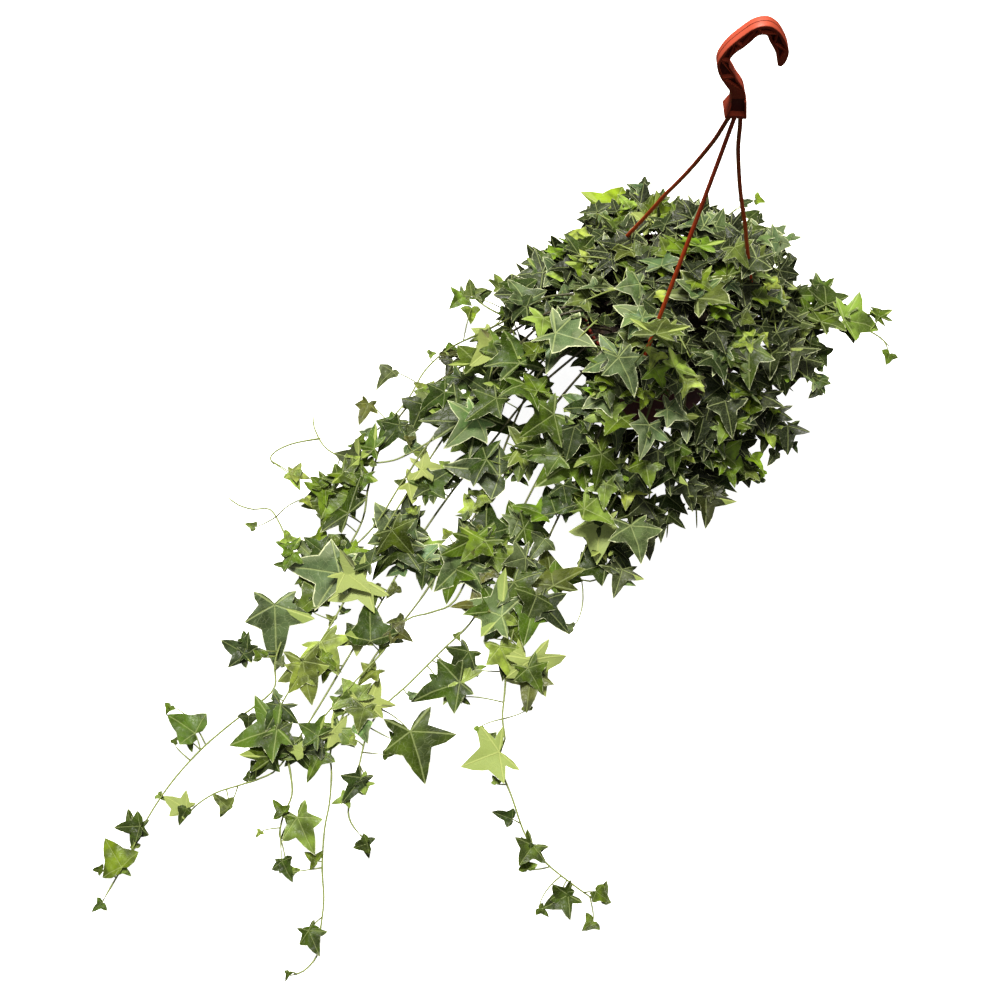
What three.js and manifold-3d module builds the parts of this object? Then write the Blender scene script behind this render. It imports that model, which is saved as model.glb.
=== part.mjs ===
// Potted English ivy in a hanging pot: the pot stands on its foot, its moulded hanger stands up above it,
// short leafy stems fill the crown, and long ones go over the rim and lie along the surface.
// Millimetres, +Z up. The origin is the centre of the pot's foot.
import * as THREE from 'three';
import * as BufferGeometryUtils from 'three/addons/utils/BufferGeometryUtils.js';
import Module from 'manifold-3d';

const wasm = await Module();
wasm.setup();

// Driving dimensions of the pot and the soil
const rimRadius = 75;
const potHeight = 115;
const footRadius = 52;
const potWall = 1.8;
const potFloor = 2.4;
const rimWall = 2.2;
const rimBandHeight = 18;
const rimBandStep = 3.4;
const roundSides = 32;
const drainHoleRadius = 4;
const drainHoleCircle = 36;
const drainHoles = 6;
const gap = 0.3;
const shortestEdge = 0.03;
const soilEdgeHeight = 99;
const soilMound = 3;

// Driving dimensions of the hanger
const hangerTurn = THREE.MathUtils.degToRad(20);
const hookBaseHeight = 340;
const hookDepth = 9;
const hookFlange = 1.3;
const hookRib = 0.75;
const hookPocketDepth = 3.2;
const hookPockets = 11;
const strapAngles = { left: 145, middle: 265, right: 25 };
const strapRadius = 1.6;
const clipWidth = 9;
const clipThickness = 1.6;

// Driving dimensions of the ivy
const stemRadius = 1.5;
const stemTipRadius = 1.1;
const stemStep = 26;
const holeDepth = 13;
const bladeThickness = 0.8;
const petioleRadius = 0.75;
const petioleRootRadius = 0.45;
const longPetiole = 26;
const clearances = [0, 5, 10, -5, 15, 20, -10, 26];
const crownRadius = 122;
const crownTop = 150;
const crownFall = 62;
const crownStems = 15;
const canopyLeaves = 520;
const solidShare = 0.155;
const smallLeaf = 19;
const smallLeafRank = 0.4;
const fillSpacing = 22;
const skirtSpacing = 17;
const fillReach = 330;
const reachStep = 5;
const leastOverlap = 0.0005;

const degrees = THREE.MathUtils.degToRad;
const point = (x, y, z) => new THREE.Vector3(x, y, z);
const group = new THREE.Group();

// A number from 0 to 1 that is always the same for the same pair of seeds
function draw(seed, salt) {
  const wave = Math.sin(seed * 12.9898 + salt * 78.233) * 43758.5453;
  return wave - Math.floor(wave);
}

function spread(seed, salt, width) {
  return (2 * draw(seed, salt) - 1) * width;
}

function polar(radius, angle, z) {
  return point(radius * Math.cos(degrees(angle)), radius * Math.sin(degrees(angle)), z);
}

// Solids and meshes

function solidOf(geometry) {
  const bare = geometry.clone();
  for (const name of Object.keys(bare.attributes)) {
    if (name !== 'position') bare.deleteAttribute(name);
  }
  const merged = BufferGeometryUtils.mergeVertices(bare, 1e-4);
  const index = Array.from(merged.index.array).filter((_, i, all) => {
    const first = i - (i % 3);
    return all[first] !== all[first + 1] && all[first + 1] !== all[first + 2] && all[first] !== all[first + 2];
  });
  return new wasm.Manifold(new wasm.Mesh({
    numProp: 3,
    vertProperties: new Float32Array(merged.attributes.position.array),
    triVerts: new Uint32Array(index),
  }));
}

function meshGeometry(vertices, faces) {
  const geometry = new THREE.BufferGeometry();
  geometry.setAttribute('position', new THREE.Float32BufferAttribute(vertices.flatMap((v) => v.toArray()), 3));
  geometry.setIndex(faces.flat());
  return geometry;
}

function addPart(name, solid, material) {
  const result = solid.asOriginal().simplify(shortestEdge).getMesh();
  const geometry = new THREE.BufferGeometry();
  geometry.setAttribute('position', new THREE.BufferAttribute(new Float32Array(result.vertProperties), 3));
  geometry.setIndex(new THREE.BufferAttribute(new Uint32Array(result.triVerts), 1));
  geometry.computeVertexNormals();
  const mesh = new THREE.Mesh(geometry, material);
  mesh.name = name;
  group.add(mesh);
}

function lathed(profile) {
  const outline = profile.map(([radius, z]) => new THREE.Vector2(radius, z));
  return solidOf(new THREE.LatheGeometry(outline, roundSides).rotateX(Math.PI / 2));
}

// Materials

const potPlastic = new THREE.MeshStandardMaterial({ color: 0x5a1a10, roughness: 0.45, metalness: 0 });
const hangerPlastic = new THREE.MeshStandardMaterial({ color: 0x9c3018, roughness: 0.4, metalness: 0 });
const pottingMix = new THREE.MeshStandardMaterial({ color: 0x2b1d13, roughness: 0.95, metalness: 0 });
const trailGreen = new THREE.MeshStandardMaterial({ color: 0x4a6f2c, roughness: 0.5, metalness: 0 });
const crownGreen = new THREE.MeshStandardMaterial({ color: 0x66854f, roughness: 0.5, metalness: 0 });

// Pot and soil

function hangingPot() {
  const bandBottom = potHeight - rimBandHeight;
  const wallTop = rimRadius - rimBandStep;
  const shell = lathed([
    [0, 0],
    [footRadius, 0],
    [footRadius + 1, 1.5],
    [wallTop, bandBottom],
    [rimRadius - 0.8, bandBottom + 0.8],
    [rimRadius, potHeight - 2],
    [rimRadius - 0.6, potHeight],
    [rimRadius - rimWall, potHeight],
    [rimRadius - rimWall, bandBottom + 3],
    [wallTop - potWall, bandBottom - 1],
    [footRadius - potWall, potFloor],
    [0, potFloor],
  ]);
  const drains = [];
  for (let i = 0; i < drainHoles; i += 1) {
    const drain = new THREE.CylinderGeometry(drainHoleRadius, drainHoleRadius, 3 * potFloor, 10);
    const place = polar(drainHoleCircle, (i * 360) / drainHoles, potFloor / 2);
    drains.push(solidOf(drain.rotateX(Math.PI / 2).translate(place.x, place.y, place.z)));
  }
  return shell.subtract(wasm.Manifold.union(drains));
}

function soil(roots) {
  const bandBottom = potHeight - rimBandHeight;
  const innerTop = rimRadius - rimBandStep - potWall - gap;
  const mass = lathed([
    [0, potFloor + gap],
    [footRadius - potWall - gap, potFloor + gap],
    [innerTop, bandBottom - 1],
    [innerTop + 0.4, soilEdgeHeight],
    [innerTop * 0.6, soilEdgeHeight + soilMound * 0.7],
    [0, soilEdgeHeight + soilMound],
  ]);
  const holes = roots.map((root) => {
    const radius = (stemRadius + gap) / Math.cos(Math.PI / 4);
    const height = holeDepth + 8;
    const hole = new THREE.CylinderGeometry(radius, radius, height, 4);
    return solidOf(hole.rotateX(Math.PI / 2).translate(root.x, root.y, root.z + height / 2 - gap));
  });
  return mass.subtract(wasm.Manifold.union(holes));
}

// Hanger: the hook's outline stands in an upright plane that is turned about Z

const hookOuter = [
  [-6.5, 0], [-8.5, 13.4], [-10.4, 19.2], [-15.3, 25.4], [-20, 31.5], [-23.7, 39], [-24.3, 43.8], [-23.6, 48.6],
  [-21.1, 55.5], [-17.4, 61.6], [-12.4, 68.4], [-8.9, 72.5], [-4.4, 75], [0.7, 75.3], [5.5, 72.7], [9.9, 68.4],
  [15.2, 60.9], [18.5, 54.4], [18.9, 48.3], [17.7, 43.5],
];
const hookInner = [
  [5.1, 0], [3.6, 6.7], [0.6, 16.9], [-2.9, 23.9], [-8.5, 30.8], [-12.7, 36.9], [-16.3, 41.5], [-16.9, 47],
  [-14.9, 51.8], [-11.3, 56], [-7.5, 61.6], [-5.6, 65.6], [-3.6, 67.6], [0.6, 67.6], [3.7, 62.9], [9, 55.2],
  [12.5, 48.7], [15.7, 44],
];

// Point at a share of the length of an open line of points
function along(line, share) {
  const lengths = line.slice(1).map((p, i) => Math.hypot(p[0] - line[i][0], p[1] - line[i][1]));
  let left = share * lengths.reduce((sum, length) => sum + length, 0);
  let i = 0;
  while (i < lengths.length - 1 && left > lengths[i]) {
    left -= lengths[i];
    i += 1;
  }
  const t = left / lengths[i];
  return [line[i][0] + t * (line[i + 1][0] - line[i][0]), line[i][1] + t * (line[i + 1][1] - line[i][1])];
}

// Extrudes an outline of the hook's plane from one depth to another, in front of or behind its middle
function hookPlate(outline, from, to) {
  const shape = new THREE.Shape(outline.map(([u, v]) => new THREE.Vector2(u, v)));
  const plate = new THREE.ExtrudeGeometry(shape, { depth: to - from, bevelEnabled: false });
  plate.translate(0, 0, from).rotateX(Math.PI / 2).translate(0, 0, hookBaseHeight);
  return solidOf(plate.rotateZ(hangerTurn));
}

// Triangular pocket between two stiffening ribs, its corners drawn in from the flanges and the ribs
function pocketOutline(i) {
  const share = (k) => 0.2 + (0.76 * k) / (hookPockets + 1);
  const corner = (k, outside) => {
    const outer = along(hookOuter, share(k));
    const inner = along(hookInner, share(k));
    const width = Math.hypot(outer[0] - inner[0], outer[1] - inner[1]);
    const t = outside ? hookFlange / width : 1 - hookFlange / width;
    return [outer[0] + t * (inner[0] - outer[0]), outer[1] + t * (inner[1] - outer[1])];
  };
  const odd = i % 2 === 1;
  const corners = [corner(i, odd), corner(i + 1, !odd), corner(i + 2, odd)];
  const middle = [0, 1].map((axis) => (corners[0][axis] + corners[1][axis] + corners[2][axis]) / 3);
  return corners.map((c) => {
    const reach = Math.hypot(c[0] - middle[0], c[1] - middle[1]);
    const kept = 1 - hookRib / reach;
    return [middle[0] + kept * (c[0] - middle[0]), middle[1] + kept * (c[1] - middle[1])];
  });
}

function hangerHook() {
  const half = hookDepth / 2;
  const outline = [...hookOuter, ...hookInner.slice().reverse()];
  const band = hookPlate(outline, -half, half);
  const web = new wasm.CrossSection([outline], "EvenOdd").offset(-hookFlange, "Miter").toPolygons()[0];
  const foot = new THREE.CylinderGeometry(6.4, 9.6, 13, 4, 1).rotateY(Math.PI / 4).rotateX(Math.PI / 2);
  foot.translate(-1.2, -0.8, hookBaseHeight + 6.5).rotateZ(hangerTurn);
  const panel = [[-5.4, 3], [2.6, 3], [0.6, 13], [-6, 13]];
  const pockets = [];
  for (let i = 0; i < hookPockets; i += 1) {
    const triangle = pocketOutline(i);
    pockets.push(hookPlate(triangle, half - hookPocketDepth, half + 1).intersect(hookPlate(web, -half, half + 1)));
    pockets.push(hookPlate(triangle, -half - 1, -half + hookPocketDepth).intersect(hookPlate(web, -half - 1, half)));
  }
  pockets.push(hookPlate(panel, half - 0.9, half + 6));
  return band.add(solidOf(foot)).subtract(wasm.Manifold.union(pockets));
}

// A strap leaves the hook's base nearly upright and flares out to a clip over the rim
function hangerStrap(angle) {
  const profile = [
    [3, hookBaseHeight - gap], [3.5, 334], [5.6, 325], [9.5, 305], [15, 285], [22, 262], [29.5, 240], [37.5, 218], [45, 195],
    [55, 165], [65.5, 135], [rimRadius - 1.4, potHeight + clipThickness],
  ];
  const path = new THREE.CatmullRomCurve3(profile.map(([radius, z]) => polar(radius, angle, z)));
  const section = new THREE.Shape();
  section.absarc(0, 0, strapRadius, 0, 2 * Math.PI);
  const rod = new THREE.ExtrudeGeometry(section, { extrudePath: path, steps: 16, curveSegments: 3, bevelEnabled: false });
  const inside = rimRadius - rimWall - 2 * gap;
  const outside = rimRadius + gap;
  const top = potHeight + gap;
  const bracket = new THREE.Shape([
    [inside - clipThickness, 104], [inside, 104], [inside, top], [outside, top], [outside, 104],
    [outside + clipThickness, 104], [outside + clipThickness, top + clipThickness],
    [inside - clipThickness, top + clipThickness],
  ].map(([radius, z]) => new THREE.Vector2(radius, z)));
  const clip = new THREE.ExtrudeGeometry(bracket, { depth: clipWidth, bevelEnabled: false });
  clip.translate(0, 0, -clipWidth / 2).rotateX(Math.PI / 2).rotateZ(degrees(angle));
  return solidOf(rod).add(solidOf(clip));
}

// Ivy stems: each trailing stem goes over the rim at an angle and then through its points,
// and each leaf row is x, y of the blade's base, the direction of its long lobe in degrees, its length,
// and how wide its lobes spread, from 0 to 1

const trails = {
  ivy_trail_01: {
    rim: 205, bow: 16,
    path: [
      [-118, -56, 88], [-146, -76, 56], [-170, -95, 34], [-187, -122, 25], [-195, -164, 23], [-191, -206, 22],
      [-184, -240, 20], [-190, -285, 18], [-203, -330, 17], [-204, -370, 15], [-195, -393, 15], [-201, -409, 14],
      [-214, -430, 13], [-228, -458, 12], [-238, -488, 11], [-243, -518, 10], [-244, -548, 9], [-247, -580, 8],
    ],
    leaves: [
      [-177, -112, 89, 17, 0.6], [-169, -114, -144, 28, 0.5], [-169, -114, -98, 22, 0.6],
      [-186, -146, -108, 29, 0.15], [-191, -143, -107, 28, 0], [-198, -175, -175, 25, 0.95],
      [-216, -223, -87, 32, 0.7], [-206, -221, -45, 24, 0.3], [-221, -333, -65, 50, 0.2],
      [-226, -377, 172, 24, 0.3], [-228, -378, 32, 18, 0.2], [-191, -311, -116, 32, 0.45],
      [-195, -309, 179, 17, 0.5], [-194, -308, -70, 17, 0.9], [-237, -448, 166, 31, 0.35],
      [-245, -525, -158, 19, 0.3], [-244, -556, 147, 30, 0.55], [-246, -583, -116, 9, 0.65],
    ],
  },
  ivy_trail_02: {
    rim: 232, bow: 12,
    path: [
      [-86, -104, 76], [-104, -140, 46], [-122, -190, 30], [-134, -245, 26], [-142, -300, 23], [-150, -355, 20],
      [-157, -402, 17], [-166, -448, 14], [-176, -462, 13], [-190, -473, 12], [-204, -484, 11], [-214, -498, 10],
      [-219, -514, 9],
    ],
    branch: [[-163, -438, 15], [-156, -452, 14], [-149, -466, 13], [-149, -482, 12], [-147, -495, 10]],
    leaves: [
      [-144, -244, 148, 43, 0.25], [-143, -228, -173, 33, 0.25], [-143, -240, 85, 26, 0.2],
      [-122, -258, 146, 26, 1], [-145, -334, -147, 26, 0.3], [-151, -292, -42, 13, 0],
      [-134, -285, -112, 14, 0], [-141, -258, -131, 23, 0.4], [-173, -445, 128, 32, 0.7],
      [-176, -443, -111, 25, 0.45], [-189, -491, 161, 16, 0], [-190, -489, -104, 12, 0.35],
      [-149, -481, 151, 13, 0.7], [-160, -498, -105, 6, 0.2], [-138, -480, -44, 33, 0],
      [-138, -484, -112, 16, 0.35], [-136, -513, -41, 17, 0.2], [-219, -502, 171, 21, 0],
      [-218, -502, -93, 14, 0],
    ],
  },
  ivy_trail_03: {
    rim: 240, bow: 8,
    path: [
      [-66, -112, 74], [-82, -158, 44], [-95, -200, 32], [-104, -240, 28], [-112, -284, 26], [-122, -320, 24],
      [-130, -345, 22], [-135, -385, 20], [-135, -422, 17], [-127, -441, 15], [-120, -462, 14], [-116, -481, 13],
      [-107, -507, 12], [-97, -528, 11], [-91, -549, 10], [-87, -564, 9], [-92, -577, 8], [-100, -583, 7],
    ],
    leaves: [
      [-99, -203, 132, 19, 0.35], [-85, -160, -130, 10, 0.5], [-77, -146, -76, 23, 0.45],
      [-76, -161, -23, 15, 0.15], [-77, -137, 118, 11, 0.7], [-83, -142, -97, 8, 0.4], [-75, -152, 60, 9, 0.3],
      [-137, -336, 113, 39, 0.5], [-140, -427, -149, 17, 0.4], [-140, -431, -93, 23, 0.6],
      [-138, -412, -8, 19, 0.95], [-139, -414, -129, 14, 0.2], [-129, -383, 146, 23, 0.6],
      [-134, -383, -142, 16, 0.4], [-120, -259, -75, 25, 0.3], [-132, -515, 169, 11, 0.85],
      [-98, -549, -60, 15, 0.45], [-99, -551, -42, 21, 0], [-101, -581, -93, 7, 0.25],
    ],
  },
  ivy_trail_04: {
    rim: 249, bow: 4,
    path: [
      [-46, -112, 78], [-56, -156, 48], [-62, -200, 34], [-64, -245, 28], [-67, -288, 25], [-82, -322, 22],
      [-97, -356, 20], [-110, -382, 18], [-113, -404, 16], [-109, -432, 14], [-106, -458, 12], [-100, -469, 11],
      [-90, -475, 9],
    ],
    leaves: [
      [-61, -197, -90, 20, 0.9], [-67, -226, -40, 33, 0.3], [-67, -225, -114, 19, 0.5],
      [-65, -143, -82, 14, 0.8], [-60, -131, 0, 28, 1], [-119, -383, 94, 23, 1], [-122, -387, -82, 21, 0.55],
      [-82, -391, -52, 43, 0.3], [-59, -343, -142, 39, 0.2], [-56, -341, 168, 24, 1], [-58, -330, 70, 10, 0.2],
      [-61, -317, -105, 28, 0], [-64, -277, -157, 25, 0.3], [-67, -244, -109, 20, 0.5],
      [-100, -438, -124, 21, 0], [-104, -437, -105, 25, 0], [-103, -439, -43, 9, 0.75],
      [-85, -478, -56, 13, 0.55],
    ],
  },
  ivy_trail_05: {
    rim: 257, bow: 0,
    path: [
      [-20, -112, 84], [-26, -155, 54], [-32, -205, 36], [-34, -255, 29], [-32, -300, 26], [-23, -338, 22],
      [-18, -357, 21], [-11, -371, 20], [-11, -382, 18], [-4, -396, 17], [9, -411, 16], [28, -434, 14],
      [48, -447, 13], [72, -455, 12], [92, -460, 10],
    ],
    leaves: [
      [-15, -241, 118, 37, 0.95], [-12, -383, -139, 33, 0.85], [-12, -307, -48, 32, 0.8],
      [-17, -306, -114, 26, 0.45], [-9, -316, -78, 31, 0.25], [-46, -281, 180, 38, 0.6],
      [-47, -283, 3, 17, 0.8], [-39, -305, -45, 31, 0], [-31, -310, -78, 21, 0.45], [-25, -264, -84, 37, 0.35],
      [-21, -259, -28, 33, 0.45], [-16, -259, -10, 12, 0.3], [-30, -134, -121, 46, 0.2],
      [95, -459, 88, 15, 0.55], [90, -455, -15, 15, 0.15], [95, -475, -125, 12, 0.85], [14, -427, -178, 16, 0],
      [71, -464, -132, 23, 0.05], [66, -464, -52, 19, 0.05], [35, -440, -106, 20, 0.55],
      [35, -445, 34, 14, 0.25], [33, -444, 136, 12, 0.35],
    ],
  },
  ivy_trail_06: {
    rim: 222, bow: 14,
    path: [
      [-92, -88, 82], [-108, -108, 60], [-128, -130, 44], [-150, -148, 36], [-169, -171, 32], [-183, -183, 30],
      [-208, -192, 28], [-236, -189, 27], [-254, -174, 27], [-259, -164, 28],
    ],
    branch: [[-246, -183, 27], [-258, -189, 26], [-268, -196, 25], [-276, -205, 24], [-278, -213, 24], [-273, -217, 23]],
    leaves: [
      [-124, -120, -4, 49, 0.75], [-208, -187, -150, 13, 0.5], [-174, -161, 53, 11, 0.2],
      [-209, -199, -15, 21, 0.7], [-212, -218, 124, 22, 0.15], [-213, -209, -19, 20, 1],
      [-254, -223, 12, 18, 0], [-254, -222, -41, 17, 0], [-221, -227, -132, 21, 0.5],
      [-225, -227, 147, 16, 0.35], [-131, -146, -34, 22, 0.4],
    ],
  },
  ivy_trail_07: {
    rim: 214, bow: 10,
    path: [
      [-104, -76, 80], [-126, -108, 58], [-149, -150, 52], [-162, -200, 41], [-172, -245, 29], [-190, -279, 27],
      [-214, -291, 25], [-229, -283, 25], [-243, -269, 25], [-258, -258, 26], [-271, -263, 26], [-284, -264, 27],
      [-294, -261, 28],
    ],
    leaves: [
      [-135, -138, 119, 38, 1], [-131, -115, 126, 18, 0.8], [-234, -241, -29, 11, 0.3],
      [-157, -200, 3, 29, 0.15], [-112, -97, 57, 17, 0.4], [-225, -287, 166, 17, 0.8],
      [-223, -289, -93, 18, 0.35], [-205, -287, 158, 29, 0.1], [-202, -280, 163, 19, 0.7],
      [-181, -277, 120, 22, 0.35], [-192, -271, 128, 15, 0.3], [-180, -277, 27, 25, 0.25],
    ],
  },
  ivy_trail_08: {
    rim: 197, bow: 20,
    path: [
      [-116, -36, 92], [-146, -48, 60], [-172, -60, 36], [-186, -84, 27], [-190, -112, 23], [-197, -136, 20],
      [-208, -154, 15],
    ],
    leaves: [
      [-222, -130, -88, 22, 0], [-212, -98, -113, 24, 0],
    ],
  },
  ivy_trail_09: {
    rim: 228, bow: 4,
    path: [
      [-84, -92, 92], [-92, -136, 54], [-90, -188, 38], [-84, -238, 31], [-86, -280, 29], [-100, -296, 28],
      [-117, -310, 28], [-125, -340, 26], [-138, -374, 24], [-150, -408, 21], [-157, -432, 19],
    ],
    leaves: [
      [-89, -248, -115, 37, 0.85], [-86, -236, 133, 35, 0.35], [-81, -220, 110, 35, 0.35],
      [-91, -195, 129, 16, 0.75], [-78, -211, -38, 11, 0.5], [-88, -168, -167, 46, 0.25],
      [-86, -227, -143, 27, 0.3], [-98, -159, 132, 11, 0.2], [-124, -323, -6, 20, 0.25],
      [-119, -312, -147, 13, 0.1], [-153, -435, -177, 15, 0.4], [-146, -420, 167, 20, 0.5],
    ],
  },
  ivy_trail_10: {
    rim: 209, bow: 18,
    path: [
      [-106, -66, 94], [-124, -94, 68], [-142, -140, 44], [-152, -190, 38], [-160, -236, 35], [-166, -288, 32],
      [-171, -330, 27], [-177, -366, 24], [-183, -402, 20], [-184, -426, 18],
    ],
    leaves: [
      [-145, -225, 89, 11, 0.3], [-151, -186, 31, 25, 0.65], [-144, -200, 54, 35, 0.45],
      [-180, -294, -171, 49, 0.35], [-176, -292, -18, 29, 0.5], [-173, -350, -43, 30, 0.65],
      [-180, -370, -58, 36, 0.2], [-176, -372, -102, 27, 0], [-167, -363, -12, 18, 0.6],
      [-178, -375, -171, 16, 0.3], [-160, -278, 169, 23, 0.55], [-183, -407, -95, 24, 0.55],
      [-178, -425, -142, 37, 0.5], [-178, -428, -17, 21, 0.45],
    ],
  },
  ivy_trail_11: {
    rim: 277, bow: 8,
    path: [[12, -112, 82], [10, -150, 52], [0, -196, 34], [0, -222, 28], [12, -224, 26], [27, -208, 24]],
    leaves: [
      [34, -206, -88, 25, 0.7], [19, -207, -143, 34, 0.3],
    ],
  },
  ivy_trail_12: {
    rim: 355, bow: 6,
    path: [
      [99, 2, 117], [107, 20, 121], [120, 33, 124], [133, 39, 125], [145, 38, 124],
      [159, 34, 122], [173, 33, 119], [184, 29, 116],
    ],
    leaves: [
      [141, 33, 12, 35, 0.45], [169, 49, 120, 18, 0.6], [138, 37, 89, 20, 0], [185, 19, -94, 13, 0.9],
      [123, 42, 106, 30, 0.1], [112, 33, 59, 25, 0.7], [112, 33, -146, 14, 0.5], [114, 28, -93, 19, 0.6],
      [109, 59, 30, 15, 0.8], [145, 30, -55, 17, 0.2],
    ],
  },
};

// Shorter stems hang over the rim all round and end on the surface or just above it
const skirtStems = [
  { rim: 285, end: [46, -176, 14] }, { rim: 294, end: [62, -158, 16] }, { rim: 304, end: [84, -140, 16] },
  { rim: 315, end: [100, -112, 18] }, { rim: 327, end: [116, -88, 20] }, { rim: 339, end: [128, -52, 40] },
  { rim: 3, end: [128, 6, 44] }, { rim: 16, end: [126, 40, 30] }, { rim: 42, end: [104, 84, 24] },
  { rim: 60, end: [70, 108, 22] }, { rim: 84, end: [16, 124, 20] }, { rim: 108, end: [-40, 116, 22] },
  { rim: 130, end: [-78, 88, 26] }, { rim: 162, end: [-112, 36, 40] }, { rim: 182, end: [-124, -8, 34] },
];

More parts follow.
